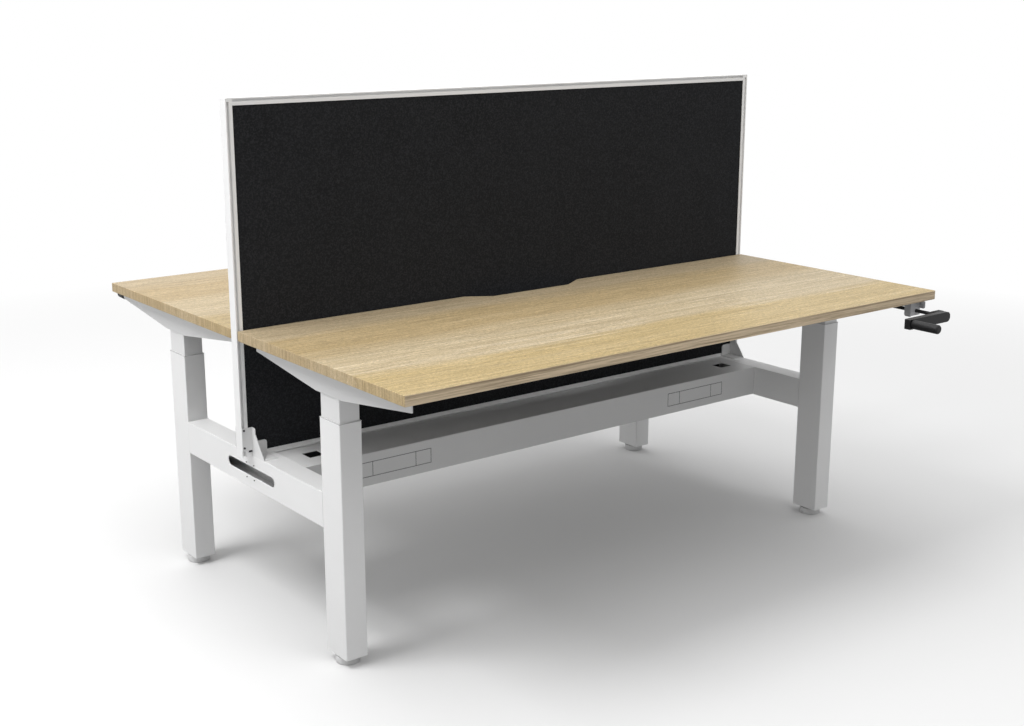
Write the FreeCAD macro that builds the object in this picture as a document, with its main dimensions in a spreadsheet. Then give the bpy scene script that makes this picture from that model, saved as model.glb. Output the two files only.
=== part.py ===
"""Back-to-back workstation: two crank-lifted desks on one base with a screen between them.

Millimetres. The origin is on the floor under the middle of the object, +X runs along the
tops, -Y is the front desk and +Z is up. The back half is the front half turned half a turn.
"""
import FreeCAD, Part
import math
import os
import re
import Sketcher

V = FreeCAD.Vector

SIZES = [
    # desktops
    ("top_length", 1800),
    ("top_depth", 750),
    ("top_thickness", 25),
    ("top_corner_radius", 3),
    ("cable_mouth_length", 410),
    ("cable_floor_length", 270),
    ("cable_cut_depth", 44),
    ("cable_cut_radius", 22),
    # columns and their feet
    ("column_inset", 28),
    ("leg_width", 60),
    ("leg_depth", 90),
    ("leg_wall", 2),
    ("leg_corner_radius", 3),
    ("leg_top_height", 611),
    ("leg_plate", 6),
    ("inner_inset", 3),
    ("inner_wall", 2),
    ("inner_bottom_gap", 20),
    ("guide_depth", 40),
    ("guide_flange", 1.5),
    ("guide_clearance", 0.1),
    ("foot_gap", 22),
    ("foot_pad_radius", 30),
    ("foot_pad_height", 18),
    ("foot_stud_radius", 4),
    ("foot_stud_reach", 10),
    # lift travel and the drive inside the columns
    ("lift_up", 400),
    ("lift_down", 50),
    ("lowest_gap", 9.5),
    ("drive_offset", 8),
    ("drive_drop", 27),
    ("shaft_radius", 5),
    ("running_clearance", 0.08),
    ("end_gap", 2),
    ("gear_pitch_radius", 14),
    ("pinion_pitch_radius", 7),
    ("gear_rim_depth", 3),
    ("gear_hub_radius", 8),
    ("mesh_clearance", 0.25),
    ("screw_radius", 8),
    ("journal_radius", 6),
    ("thrust_clearance", 0.2),
    ("head_height", 52),
    ("head_wall", 2),
    ("head_floor", 3),
    ("nut_tube_width", 30),
    ("nut_tube_wall", 2),
    ("nut_length", 28),
    # arms under the tops
    ("arm_rear_setback", 44),
    ("arm_front_setback", 16),
    ("arm_end_height", 21.5),
    ("arm_middle_height", 59),
    ("arm_flat_length", 116),
    ("arm_sheet", 3),
    ("arm_blend_radius", 90),
    ("rod_hole_radius", 9),
    # base frame
    ("base_height", 426),
    ("beam_height", 90),
    ("beam_wall", 3),
    ("beam_slot_length", 250),
    ("beam_slot_height", 26),
    ("beam_slot_drop", 46),
    ("centre_beam_width", 48),
    ("centre_beam_wall", 3),
    # cable trays beside the centre beam
    ("tray_height", 88),
    ("tray_width", 360),
    ("tray_gap", 6),
    ("tray_sheet", 2),
    ("tray_lip", 10),
    ("tray_fold_radius", 2),
    ("cable_hole_length", 45),
    ("cable_hole_width", 44),
    ("cable_hole_inset", 69),
    ("cable_hole_reach", 99),
    ("knockout_inset", 263),
    ("knockout_drop", 44),
    ("knockout_height", 40),
    ("knockout_end_length", 48),
    ("knockout_middle_length", 133),
    ("knockout_line", 1),
    ("knockout_depth", 0.8),
    # screen
    ("screen_height", 900),
    ("screen_thickness", 30),
    ("screen_gap", 3),
    ("rail_face", 18),
    ("rail_lip", 3),
    ("rail_groove_width", 6),
    ("rail_groove_depth", 8),
    ("panel_channel_depth", 7),
    ("panel_lip", 1.5),
    ("panel_tuck", 6),
    ("panel_clearance", 0.1),
    ("fabric_thickness", 1.2),
    ("corner_cap_height", 9),
    ("corner_cap_radius", 1.5),
    ("foot_rail_face", 10),
    # screen brackets
    ("bracket_sheet", 2.5),
    ("bracket_foot_length", 41),
    ("bracket_foot_depth", 58),
    ("bracket_plate_height", 60),
    ("bracket_plate_rise", 16),
    ("bracket_gusset_top_depth", 15),
    ("bracket_gusset_bend_height", 60),
    ("bracket_tab_height", 37),
    ("bracket_corner_radius", 7),
    ("bracket_screw_radius", 2.6),
    ("bracket_screw_inset", 5.5),
    # cranks
    ("crank_throw", 150.5),
    ("crank_overhang", 14),
    ("crank_bar_height", 28),
    ("crank_bar_thickness", 18),
    ("crank_bar_radius", 2),
    ("crank_hub_radius", 13),
    ("crank_fit", 0.02),
    ("crank_reach", 72),
    ("crank_collar_radius", 15),
    ("crank_collar_length", 12),
    ("crank_cone_length", 22),
    ("crank_cone_radius", 7),
    ("crank_bore_depth", 12),
    ("crank_pin_radius", 4),
    ("crank_pin_length", 70),
    ("grip_radius", 12.5),
    ("grip_length", 83),
    ("grip_gap", 0.5),
    ("grip_end_chamfer", 3),
    # bracket that carries the crank shaft under the top's front edge
    ("shaft_bracket_sheet", 2.5),
    ("shaft_bracket_width", 40),
    ("shaft_bracket_height", 40),
    ("shaft_bracket_lug_depth", 19),
    ("shaft_bracket_lug_height", 42),
    ("shaft_bracket_cheek_depth", 17),
    ("shaft_bracket_cheek_height", 21),
    ("shaft_bracket_radius", 6),
    ("shaft_bracket_hole_radius", 3),
    ("shaft_bracket_hole_drop", 7),
    # how far a cut runs past the face it starts from
    ("overrun", 1),
]

GEAR_INNER_SHARE = 0.65

WORD = re.compile(r"[a-z][a-z_]*[a-z]")
FUNCTIONS = ("sin", "cos", "tan", "sqrt")

# Places that several pieces share, worked out from the sizes above.
COLUMN_X = "(top_length/2 - column_inset - leg_width/2)"
ARM_LENGTH = "(top_depth - arm_rear_setback - arm_front_setback)"
COLUMN_Y = f"(screen_thickness/2 + screen_gap + arm_rear_setback + {ARM_LENGTH}/2)"
UNDERSIDE = "(leg_top_height + guide_flange + lowest_gap + lift_down + arm_middle_height)"
INNER_TOP_Z = f"({UNDERSIDE} - arm_sheet - head_height)"
DRIVE_X = f"({COLUMN_X} - drive_offset)"
DRIVE_Z = f"({UNDERSIDE} - drive_drop)"
TOP_FRONT_Y = "(screen_thickness/2 + screen_gap + top_depth)"
BEAM_INNER_X = f"({COLUMN_X} - leg_width/2)"
BEAM_END_Y = f"({COLUMN_Y} - leg_depth/2)"
LEG_FLOOR_Z = "(foot_gap + leg_plate)"
INNER_WIDTH = "(leg_width - 2*inner_inset)"
INNER_DEPTH = "(leg_depth - 2*inner_inset)"
INNER_BOTTOM_Z = f"({LEG_FLOOR_Z} + lift_down + inner_bottom_gap)"
SCREW_END_Z = f"({LEG_FLOOR_Z} + foot_stud_reach + lift_down + end_gap)"
NUT_Z = f"({SCREW_END_Z} + lift_up + end_gap)"
SCREEN_TOP_Z = "(base_height + screen_height)"
POST_INNER_X = "(top_length/2 - rail_face)"
PANEL_HALF = "(screen_thickness/2 - panel_lip - panel_clearance)"

doc = FreeCAD.newDocument("BackToBackWorkstation")
sheet = doc.addObject("Spreadsheet::Sheet", "Sizes")
for row, (name, size) in enumerate(SIZES, start=1):
    sheet.set(f"A{row}", name)
    sheet.set(f"B{row}", str(size))
    sheet.setAlias(f"B{row}", name)
doc.recompute()

pieces = []


def bound(text):
    """Return an expression with the sheet's name before each size in it."""
    return WORD.sub(lambda m: m.group() if m.group() in FUNCTIONS else "Sizes." + m.group(), text)


def value(text):
    """Return what an expression of sizes comes to now."""
    return float(sheet.evalExpression(bound(text)))


def start(label):
    """Begin one sub-part of its own."""
    body = doc.addObject("PartDesign::Body", label)
    body.Label = label
    pieces.append(body)
    return body


def place(body, x, y, z, back=False):
    """Put a sub-part at x, y, z of the front half, or turned to the same place at the back."""
    sign = "-" if back else ""
    if back:
        body.Placement = FreeCAD.Placement(V(0, 0, 0), FreeCAD.Rotation(V(0, 0, 1), 180))
    body.setExpression("Placement.Base.x", bound(f"{sign}({x})"))
    body.setExpression("Placement.Base.y", bound(f"{sign}({y})"))
    body.setExpression("Placement.Base.z", bound(z))


def sketch_on(body, role, offset="0"):
    """Attach a new sketch to one of the body's own planes, offset along its normal."""
    sketch = body.newObject("Sketcher::SketchObject", body.Label + "_sketch")
    plane = next(item for item in body.Origin.OriginFeatures if item.Role == role)
    sketch.AttachmentSupport = [(plane, "")]
    sketch.MapMode = "FlatFace"
    if offset != "0":
        sketch.setExpression("AttachmentOffset.Base.z", bound(offset))
    return sketch


def hold(sketch, wanted):
    """Add constraints, each with the expression that drives it, if it has one."""
    made = sketch.addConstraint([constraint for constraint, text in wanted])
    for index, (constraint, text) in zip(made, wanted):
        if text is not None:
            sketch.setExpression(f"Constraints[{index}]", bound(text))


def at_point(geometry, point, x, y):
    """Return the two constraints that hold a point at x, y."""
    return [
        (Sketcher.Constraint("DistanceX", -1, 1, geometry, point, value(x)), x),
        (Sketcher.Constraint("DistanceY", -1, 1, geometry, point, value(y)), y),
    ]


def polygon(sketch, corners):
    """Draw a closed outline through corners given as pairs of expressions."""
    points = [V(value(x), value(y), 0) for x, y in corners]
    first = sketch.GeometryCount
    count = len(corners)
    lines = [Part.LineSegment(points[i], points[(i + 1) % count]) for i in range(count)]
    sketch.addGeometry(lines, False)
    wanted = []
    for i, (x, y) in enumerate(corners):
        follow = first + (i + 1) % count
        wanted.append((Sketcher.Constraint("Coincident", first + i, 2, follow, 1), None))
        wanted += at_point(first + i, 1, x, y)
    hold(sketch, wanted)


def rectangle(sketch, low_x, low_y, high_x, high_y):
    """Draw a rectangle between two corners."""
    polygon(sketch, [(low_x, low_y), (high_x, low_y), (high_x, high_y), (low_x, high_y)])


def circle(sketch, x, y, radius):
    """Draw a circle about x, y."""
    middle = V(value(x), value(y), 0)
    index = sketch.addGeometry(Part.Circle(middle, V(0, 0, 1), value(radius)), False)
    size = Sketcher.Constraint("Radius", index, value(radius))
    hold(sketch, at_point(index, 3, x, y) + [(size, radius)])


def slot(sketch, x, y, half_run, radius):
    """Draw a round-ended slot along the sketch's first axis, centred on x, y."""
    reach, size = value(half_run), value(radius)
    left, right = V(value(x) - reach, value(y), 0), V(value(x) + reach, value(y), 0)
    up = V(0, size, 0)
    first = sketch.GeometryCount
    quarter = math.pi / 2
    sketch.addGeometry([
        Part.LineSegment(left - up, right - up),
        Part.ArcOfCircle(Part.Circle(right, V(0, 0, 1), size), -quarter, quarter),
        Part.LineSegment(right + up, left + up),
        Part.ArcOfCircle(Part.Circle(left, V(0, 0, 1), size), quarter, 3 * quarter),
    ], False)
    wanted = at_point(first + 1, 3, f"{x} + {half_run}", y)
    wanted += at_point(first + 3, 3, f"{x} - ({half_run})", y)
    for arc in (first + 1, first + 3):
        wanted.append((Sketcher.Constraint("Radius", arc, size), radius))
    for a, end_a, b, end_b in ((0, 2, 1, 1), (1, 2, 2, 1), (2, 2, 3, 1), (3, 2, 0, 1)):
        wanted.append((Sketcher.Constraint("Tangent", first + a, end_a, first + b, end_b), None))
    hold(sketch, wanted)


def pad(body, sketch, length, both=False, reverse=False):
    """Add material from a sketch, along its normal or to both sides."""
    feature = body.newObject("PartDesign::Pad", body.Label + "_pad")
    feature.Profile = sketch
    feature.setExpression("Length", bound(length))
    feature.Reversed = reverse
    if both:
        feature.SideType = "Symmetric"
    sketch.Visibility = False
    return feature


def cut(body, sketch, length, both=False, reverse=False):
    """Take material away from a sketch; stop if nothing is taken."""
    doc.recompute()
    before = body.Shape.Volume
    feature = body.newObject("PartDesign::Pocket", body.Label + "_cut")
    feature.Profile = sketch
    feature.setExpression("Length", bound(length))
    feature.Reversed = reverse
    if both:
        feature.SideType = "Symmetric"
    doc.recompute()
    if body.Shape.Volume >= before:
        raise ValueError(f"a cut in {body.Label} takes nothing away")
    return feature


def turn(body, outline, along="Z"):
    """Revolve an outline of (radius, distance) pairs about the body's own axis."""
    sketch = sketch_on(body, "XZ_Plane" if along == "Z" else "XY_Plane")
    axis = "H_Axis" if along == "X" else "V_Axis"
    corners = outline if axis == "V_Axis" else [(distance, radius) for radius, distance in outline]
    polygon(sketch, corners)
    feature = body.newObject("PartDesign::Revolution", body.Label + "_turn")
    feature.Profile = sketch
    feature.ReferenceAxis = (sketch, [axis])
    feature.Angle = 360
    return feature


def round_edges(body, radius, spots):
    """Round the edges that pass nearest to the given spots."""
    doc.recompute()
    tip = body.Tip
    edges = tip.Shape.Edges
    names = []
    for spot in spots:
        point = Part.Vertex(V(*[value(text) for text in spot]))
        gaps = [edge.distToShape(point)[0] for edge in edges]
        names.append(f"Edge{gaps.index(min(gaps)) + 1}")
    feature = body.newObject("PartDesign::Fillet", body.Label + "_round")
    feature.Base = (tip, sorted(set(names)))
    feature.setExpression("Radius", bound(radius))
    doc.recompute()
    return feature


def box(name, low, size):
    """Make a plain block from its low corner and its size, both as expressions."""
    block = doc.addObject("Part::Box", name)
    for side, text in zip(("Length", "Width", "Height"), size):
        block.setExpression(side, bound(text))
    for axis, text in zip("xyz", low):
        block.setExpression(f"Placement.Base.{axis}", bound(text))
    return block


def desktop(label, back):
    """A laminated board with a cable cut-out in its rear edge."""
    body = start(label)
    outline = sketch_on(body, "XY_Plane")
    polygon(outline, [
        ("-top_length/2", "0"),
        ("-cable_mouth_length/2", "0"),
        ("-cable_floor_length/2", "-cable_cut_depth"),
        ("cable_floor_length/2", "-cable_cut_depth"),
        ("cable_mouth_length/2", "0"),
        ("top_length/2", "0"),
        ("top_length/2", "-top_depth"),
        ("-top_length/2", "-top_depth"),
    ])
    pad(body, outline, "top_thickness")
    half = "top_thickness/2"
    bends = [(f"{s}cable_mouth_length/2", "0", half) for s in ("", "-")]
    bends += [(f"{s}cable_floor_length/2", "-cable_cut_depth", half) for s in ("", "-")]
    round_edges(body, "cable_cut_radius", bends)
    ends = [(f"{s}top_length/2", y, half) for s in ("", "-") for y in ("0", "-top_depth")]
    round_edges(body, "top_corner_radius", ends)
    place(body, "0", "-(screen_thickness/2 + screen_gap)", UNDERSIDE, back)


def rectangular_tube(body, width, depth, wall, low_z, high_z, floor="0", corner=None):
    """Stand a rectangular tube on a floor plate of its own, if it has one."""
    outer = sketch_on(body, "XY_Plane", low_z)
    rectangle(outer, f"-({width})/2", f"-({depth})/2", f"({width})/2", f"({depth})/2")
    pad(body, outer, f"({high_z}) - ({low_z})")
    if corner:
        middle = f"(({high_z}) + ({low_z}))/2"
        spots = [(f"{a}({width})/2", f"{b}({depth})/2", middle) for a in ("", "-") for b in ("", "-")]
        round_edges(body, corner, spots)
    inner = sketch_on(body, "XY_Plane", high_z)
    inset = f"({wall})"
    rectangle(inner, f"-({width})/2 + {inset}", f"-({depth})/2 + {inset}",
              f"({width})/2 - {inset}", f"({depth})/2 - {inset}")
    run = f"({high_z}) - ({low_z}) - ({floor})"
    cut(body, inner, run if floor != "0" else run + " + overrun")


def outer_tube(label, side, back):
    """The fixed tube of a column, with the plate that takes the foot's stud welded in its end."""
    body = start(label)
    rectangular_tube(body, "leg_width", "leg_depth", "leg_wall", "foot_gap", "leg_top_height",
                     "leg_plate", "leg_corner_radius")
    hole = sketch_on(body, "XY_Plane", LEG_FLOOR_Z)
    circle(hole, "0", "0", "foot_stud_radius + running_clearance")
    cut(body, hole, "leg_plate + overrun")
    place(body, side + COLUMN_X, "-" + COLUMN_Y, "0", back)


def inner_tube(label, side, back):
    """The lifting tube of a column."""
    body = start(label)
    rectangular_tube(body, INNER_WIDTH, INNER_DEPTH, "inner_wall", INNER_BOTTOM_Z,
                     INNER_TOP_Z, corner="leg_corner_radius - inner_wall/2")
    place(body, side + COLUMN_X, "-" + COLUMN_Y, "0", back)


def guide_collars():
    """Plastic collars that line the mouths of the outer tubes and carry a thin rim."""
    collars = []
    hollow_size = ("2*guide_clearance + " + INNER_WIDTH, "2*guide_clearance + " + INNER_DEPTH)
    for side in ("", "-"):
        for depth in ("", "-"):
            parts = []
            for name, width, reach, low_z, height in (
                ("collar", "leg_width - 2*leg_wall", "leg_depth - 2*leg_wall",
                 "leg_top_height - guide_depth", "guide_depth"),
                ("collar_rim", "leg_width", "leg_depth", "leg_top_height", "guide_flange"),
                ("collar_hollow", *hollow_size,
                 "leg_top_height - guide_depth - overrun", "guide_depth + guide_flange + 2*overrun"),
            ):
                low = (f"{side}{COLUMN_X} - ({width})/2", f"{depth}{COLUMN_Y} - ({reach})/2", low_z)
                parts.append(box(name, low, (width, reach, height)))
            whole = doc.addObject("Part::Fuse", "collar_solid")
            whole.Base, whole.Tool = parts[:2]
            collar = doc.addObject("Part::Cut", "collar_open")
            collar.Base, collar.Tool = whole, parts[2]
            collars.append(collar)
    group(collars, "column_guides")


def group(shapes, label):
    """Keep like pieces together under one name."""
    together = doc.addObject("Part::Compound", label)
    together.Label = label
    together.Links = shapes
    pieces.append(together)


def foot(label, side, back):
    """A levelling foot: a round pad and its threaded stud."""
    body = start(label)
    turn(body, [
        ("0", "0"),
        ("foot_pad_radius", "0"),
        ("foot_pad_radius", "foot_pad_height"),
        ("foot_stud_radius", "foot_pad_height"),
        ("foot_stud_radius", f"{LEG_FLOOR_Z} + foot_stud_reach"),
        ("0", f"{LEG_FLOOR_Z} + foot_stud_reach"),
    ])
    place(body, side + COLUMN_X, "-" + COLUMN_Y, "0", back)


def arm(label, side, back):
    """A wing-shaped channel folded from sheet: deep over the column, shallow at its ends."""
    body = start(label)
    profile = sketch_on(body, "YZ_Plane")
    polygon(profile, [
        (f"-{ARM_LENGTH}/2", "0"),
        (f"-{ARM_LENGTH}/2", "-arm_end_height"),
        ("-arm_flat_length/2", "-arm_middle_height"),
        ("arm_flat_length/2", "-arm_middle_height"),
        (f"{ARM_LENGTH}/2", "-arm_end_height"),
        (f"{ARM_LENGTH}/2", "0"),
    ])
    pad(body, profile, "leg_width", both=True)
    bends = [("0", f"{s}arm_flat_length/2", "-arm_middle_height") for s in ("", "-")]
    round_edges(body, "arm_blend_radius", bends)
    hollow = sketch_on(body, "XY_Plane", "-arm_sheet")
    rectangle(hollow, "-leg_width/2 + arm_sheet", f"-{ARM_LENGTH}/2 + arm_sheet",
              "leg_width/2 - arm_sheet", f"{ARM_LENGTH}/2 - arm_sheet")
    cut(body, hollow, "arm_middle_height")
    inner = "-" if side == "" else ""
    hole = sketch_on(body, "YZ_Plane", f"{inner}(leg_width/2 + overrun)")
    circle(hole, "0", "-drive_drop", "rod_hole_radius")
    cut(body, hole, "arm_sheet + 2*overrun", reverse=side == "")
    place(body, side + COLUMN_X, "-" + COLUMN_Y, UNDERSIDE, back)


def column_head(label, side, back):
    """The housing on top of a lifting tube that holds the bevel gears, closed by the arm."""
    body = start(label)
    top = f"({UNDERSIDE} - arm_sheet)"
    rectangular_tube(body, INNER_WIDTH, INNER_DEPTH, "head_wall", INNER_TOP_Z, top, "head_floor")
    inward = "-" if side == "" else ""
    bore = sketch_on(body, "XY_Plane", f"{INNER_TOP_Z} + head_floor")
    circle(bore, f"{inward}drive_offset", "0", "journal_radius + running_clearance")
    cut(body, bore, "head_floor + overrun")
    front = sketch_on(body, "XZ_Plane", f"({INNER_DEPTH})/2")
    circle(front, f"{inward}drive_offset", DRIVE_Z, "shaft_radius + running_clearance")
    cut(body, front, "head_wall + overrun")
    flank = sketch_on(body, "YZ_Plane", f"{inward}({INNER_WIDTH})/2")
    circle(flank, "0", DRIVE_Z, "shaft_radius + running_clearance")
    cut(body, flank, "head_wall + overrun", reverse=side == "")
    place(body, side + COLUMN_X, "-" + COLUMN_Y, "0", back)


def pinion_outline(far_end, far_radius):
    """The bevel pinion at the end of a shaft whose axis starts at the gears' common point."""
    inner = f"{GEAR_INNER_SHARE}"
    return [
        ("0", f"{inner} * gear_pitch_radius"),
        (f"{inner} * pinion_pitch_radius - mesh_clearance", f"{inner} * gear_pitch_radius"),
        ("pinion_pitch_radius - mesh_clearance", "gear_pitch_radius"),
        ("shaft_radius", "gear_pitch_radius + end_gap"),
        (far_radius, far_end),
        ("0", far_end),
    ]


def crank_shaft(label, back):
    """The shaft from the crank to the front column's gears, with its bevel pinion."""
    body = start(label)
    far_end = f"({TOP_FRONT_Y} + crank_reach + crank_bore_depth - {COLUMN_Y})"
    outline = [(radius, f"-({distance})") for radius, distance in pinion_outline(far_end, "shaft_radius")]
    turn(body, outline, along="Y")
    place(body, DRIVE_X, "-" + COLUMN_Y, DRIVE_Z, back)


def cross_rod(label, back):
    """The rod that turns both columns of a desk together, with a bevel pinion at each end."""
    body = start(label)
    half = pinion_outline(DRIVE_X, "shaft_radius")[:4]
    right = [(radius, f"{DRIVE_X} - ({distance})") for radius, distance in half]
    left = [(radius, f"-({text})") for radius, text in reversed(right)]
    turn(body, right + left, along="X")
    place(body, "0", "-" + COLUMN_Y, DRIVE_Z, back)


def lead_screw(label, side, back):
    """A lead screw with its bevel gear, hung in the column head."""
    body = start(label)
    inner = f"{GEAR_INNER_SHARE}"
    floor_low = f"({INNER_TOP_Z} - {DRIVE_Z})"
    floor_top = f"({floor_low} + head_floor)"
    rim = "(-pinion_pitch_radius - gear_rim_depth)"
    turn(body, [
        ("0", f"-{inner} * pinion_pitch_radius - mesh_clearance"),
        (f"{inner} * gear_pitch_radius", f"-{inner} * pinion_pitch_radius - mesh_clearance"),
        ("gear_pitch_radius", "-pinion_pitch_radius - mesh_clearance"),
        ("gear_hub_radius", rim),
        ("gear_hub_radius", f"{floor_top} + thrust_clearance"),
        ("journal_radius", f"{floor_top} + thrust_clearance"),
        ("journal_radius", f"{floor_low} - thrust_clearance"),
        ("screw_radius", f"{floor_low} - thrust_clearance"),
        ("screw_radius", f"{SCREW_END_Z} - {DRIVE_Z}"),
        ("0", f"{SCREW_END_Z} - {DRIVE_Z}"),
    ])
    place(body, side + DRIVE_X, "-" + COLUMN_Y, DRIVE_Z, back)


def bored_block(name, x, y, low_z, width, height, hollow):
    """A square block or tube about an upright axis, opened by another shape."""
    solid = box(name, (f"{x} - {width}/2", f"{y} - {width}/2", low_z), (width, width, height))
    opened = doc.addObject("Part::Cut", name + "_open")
    opened.Base, opened.Tool = solid, hollow
    return opened


def nuts_and_tubes():
    """The square tubes that stand on the foot plates and the nut blocks that they carry."""
    tubes, nuts = [], []
    inside = "(nut_tube_width - 2*nut_tube_wall)"
    tube_height = f"({NUT_Z} - {LEG_FLOOR_Z})"
    for side in ("", "-"):
        for depth in ("", "-"):
            x, y = side + DRIVE_X, depth + COLUMN_Y
            low = (f"{x} - {inside}/2", f"{y} - {inside}/2", f"{LEG_FLOOR_Z} - overrun")
            hollow = box("nut_tube_hollow", low, (inside, inside, f"{tube_height} + 2*overrun"))
            tubes.append(bored_block("nut_tube", x, y, LEG_FLOOR_Z, "nut_tube_width", tube_height, hollow))
            bore = doc.addObject("Part::Cylinder", "lead_nut_bore")
            bore.setExpression("Radius", bound("screw_radius + running_clearance"))
            bore.setExpression("Height", bound("nut_length + 2*overrun"))
            for axis, text in zip("xyz", (x, y, f"{NUT_Z} - overrun")):
                bore.setExpression(f"Placement.Base.{axis}", bound(text))
            nuts.append(bored_block("lead_nut", x, y, NUT_Z, "nut_tube_width", "nut_length", bore))
    group(tubes, "nut_tubes")
    group(nuts, "lead_nuts")


def end_beam(label, side):
    """The cross beam between the front and back columns, slotted for cables."""
    body = start(label)
    half_height = "beam_height/2"
    section = sketch_on(body, "XZ_Plane")
    rectangle(section, "-leg_width/2", "-" + half_height, "leg_width/2", half_height)
    pad(body, section, f"2*{BEAM_END_Y}", both=True)
    hollow = sketch_on(body, "XZ_Plane")
    rectangle(hollow, "-leg_width/2 + beam_wall", f"-{half_height} + beam_wall",
              "leg_width/2 - beam_wall", f"{half_height} - beam_wall")
    cut(body, hollow, f"2*{BEAM_END_Y} + 2*overrun", both=True)
    window = sketch_on(body, "YZ_Plane")
    middle = f"{half_height} - beam_slot_drop"
    slot(window, "0", middle, "(beam_slot_length - beam_slot_height)/2", "beam_slot_height/2")
    cut(body, window, "leg_width + 2*overrun", both=True)
    place(body, side + COLUMN_X, "0", f"base_height - {half_height}")


def centre_beam():
    """The long beam that joins the end beams under the screen."""
    body = start("centre_beam")
    section = sketch_on(body, "YZ_Plane")
    rectangle(section, "-centre_beam_width/2", "-tray_height", "centre_beam_width/2", "0")
    rectangle(section, "-centre_beam_width/2 + centre_beam_wall", "-tray_height + centre_beam_wall",
              "centre_beam_width/2 - centre_beam_wall", "-centre_beam_wall")
    pad(body, section, f"2*{BEAM_INNER_X}", both=True)
    place(body, "0", "0", "base_height")


def cable_tray(label, back):
    """A folded sheet channel for cables, with cable holes and marked-out socket places."""
    body = start(label)
    near, far = "-(centre_beam_width/2 + tray_gap)", "-tray_width/2"
    low, sheet_edge = "-tray_height", "tray_sheet"
    section = sketch_on(body, "YZ_Plane")
    polygon(section, [
        (near, "0"),
        (far, "0"),
        (far, low),
        (near, low),
        (near, f"{low} + tray_lip"),
        (f"{near} - {sheet_edge}", f"{low} + tray_lip"),
        (f"{near} - {sheet_edge}", f"{low} + {sheet_edge}"),
        (f"{far} + {sheet_edge}", f"{low} + {sheet_edge}"),
        (f"{far} + {sheet_edge}", f"-{sheet_edge}"),
        (f"{near} - {sheet_edge}", f"-{sheet_edge}"),
        (f"{near} - {sheet_edge}", "-tray_lip"),
        (near, "-tray_lip"),
    ])
    pad(body, section, f"2*({BEAM_INNER_X} - tray_sheet)", both=True)
    round_edges(body, "tray_fold_radius", [("0", far, "0"), ("0", far, low)])
    holes = sketch_on(body, "XY_Plane")
    for side in ("", "-"):
        x = f"{side}({BEAM_INNER_X} - cable_hole_inset)"
        rectangle(holes, f"{x} - cable_hole_length/2", "-cable_hole_reach - cable_hole_width/2",
                  f"{x} + cable_hole_length/2", "-cable_hole_reach + cable_hole_width/2")
    cut(body, holes, "tray_sheet + overrun")
    marks = sketch_on(body, "XZ_Plane", "tray_width/2")
    low_z, high_z = "(-knockout_drop - knockout_height/2)", "(-knockout_drop + knockout_height/2)"
    whole = "(2*knockout_end_length + knockout_middle_length + 2*knockout_line)"
    for side in ("", "-"):
        x = f"{side}({BEAM_INNER_X} - knockout_inset)"
        rectangle(marks, f"{x} - {whole}/2", low_z, f"{x} + {whole}/2", high_z)
        left = f"({x} - {whole}/2 + knockout_line)"
        for run in ("(knockout_end_length - knockout_line)", "knockout_middle_length",
                    "(knockout_end_length - knockout_line)"):
            rectangle(marks, left, f"{low_z} + knockout_line", f"{left} + {run}", f"{high_z} - knockout_line")
            left = f"({left} + {run} + knockout_line)"
    cut(body, marks, "knockout_depth")
    place(body, "0", "0", "base_height", back)


def tray_end_plates():
    """The plates that close the trays' ends, open where the end beams' cable slots meet them."""
    plates = []
    near = "(centre_beam_width/2 + tray_gap)"
    slot_z = "base_height - beam_slot_drop - beam_slot_height/2"
    window = f"(beam_slot_length/2 - {near} - tray_sheet)"
    for side in ("", "-"):
        for depth in ("", "-"):
            low_x = f"{BEAM_INNER_X} - tray_sheet" if side == "" else f"-{BEAM_INNER_X}"
            low_y = near if depth == "" else "-tray_width/2"
            window_y = f"{near} + tray_sheet" if depth == "" else f"-{near} - tray_sheet - {window}"
            solid = box("tray_end", (low_x, low_y, "base_height - tray_height"),
                        ("tray_sheet", f"tray_width/2 - {near}", "tray_height"))
            hole = box("tray_end_window", (f"{low_x} - overrun", window_y, slot_z),
                       ("tray_sheet + 2*overrun", window, "beam_slot_height"))
            plate = doc.addObject("Part::Cut", "tray_end_plate")
            plate.Base = solid
            plate.Tool = hole
            plates.append(plate)
    group(plates, "tray_end_plates")


def rail_section(face, grooved):
    """Half the section of a screen rail, from its outer edge to the panel, and its mirror."""
    half = "screen_thickness/2"
    groove = [
        ("rail_lip", half),
        ("rail_lip", f"{half} - rail_groove_depth"),
        ("rail_lip + rail_groove_width", f"{half} - rail_groove_depth"),
        ("rail_lip + rail_groove_width", half),
    ]
    side = [("0", half)] + (groove if grooved else []) + [
        (face, half),
        (face, f"{half} - panel_lip"),
        (f"{face} - panel_channel_depth", f"{half} - panel_lip"),
    ]
    return side + [(depth, f"-({across})") for depth, across in reversed(side)]


def screen_post(label, side):
    """An upright of the screen frame: a grooved profile with a channel for the panel."""
    body = start(label)
    sketch = sketch_on(body, "XY_Plane")
    into = "-" if side == "" else ""
    polygon(sketch, [(f"{into}({depth})", across) for depth, across in rail_section("rail_face", True)])
    pad(body, sketch, "screen_height - corner_cap_height")
    place(body, f"{side}top_length/2", "0", "base_height")


def screen_rail(label, face, grooved, top):
    """A level member of the screen frame."""
    body = start(label)
    sketch = sketch_on(body, "YZ_Plane")
    into = "-" if top else ""
    polygon(sketch, [(across, f"{into}({depth})") for depth, across in rail_section(face, grooved)])
    pad(body, sketch, f"2*{POST_INNER_X}", both=True)
    place(body, "0", "0", SCREEN_TOP_Z if top else "base_height")


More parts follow.
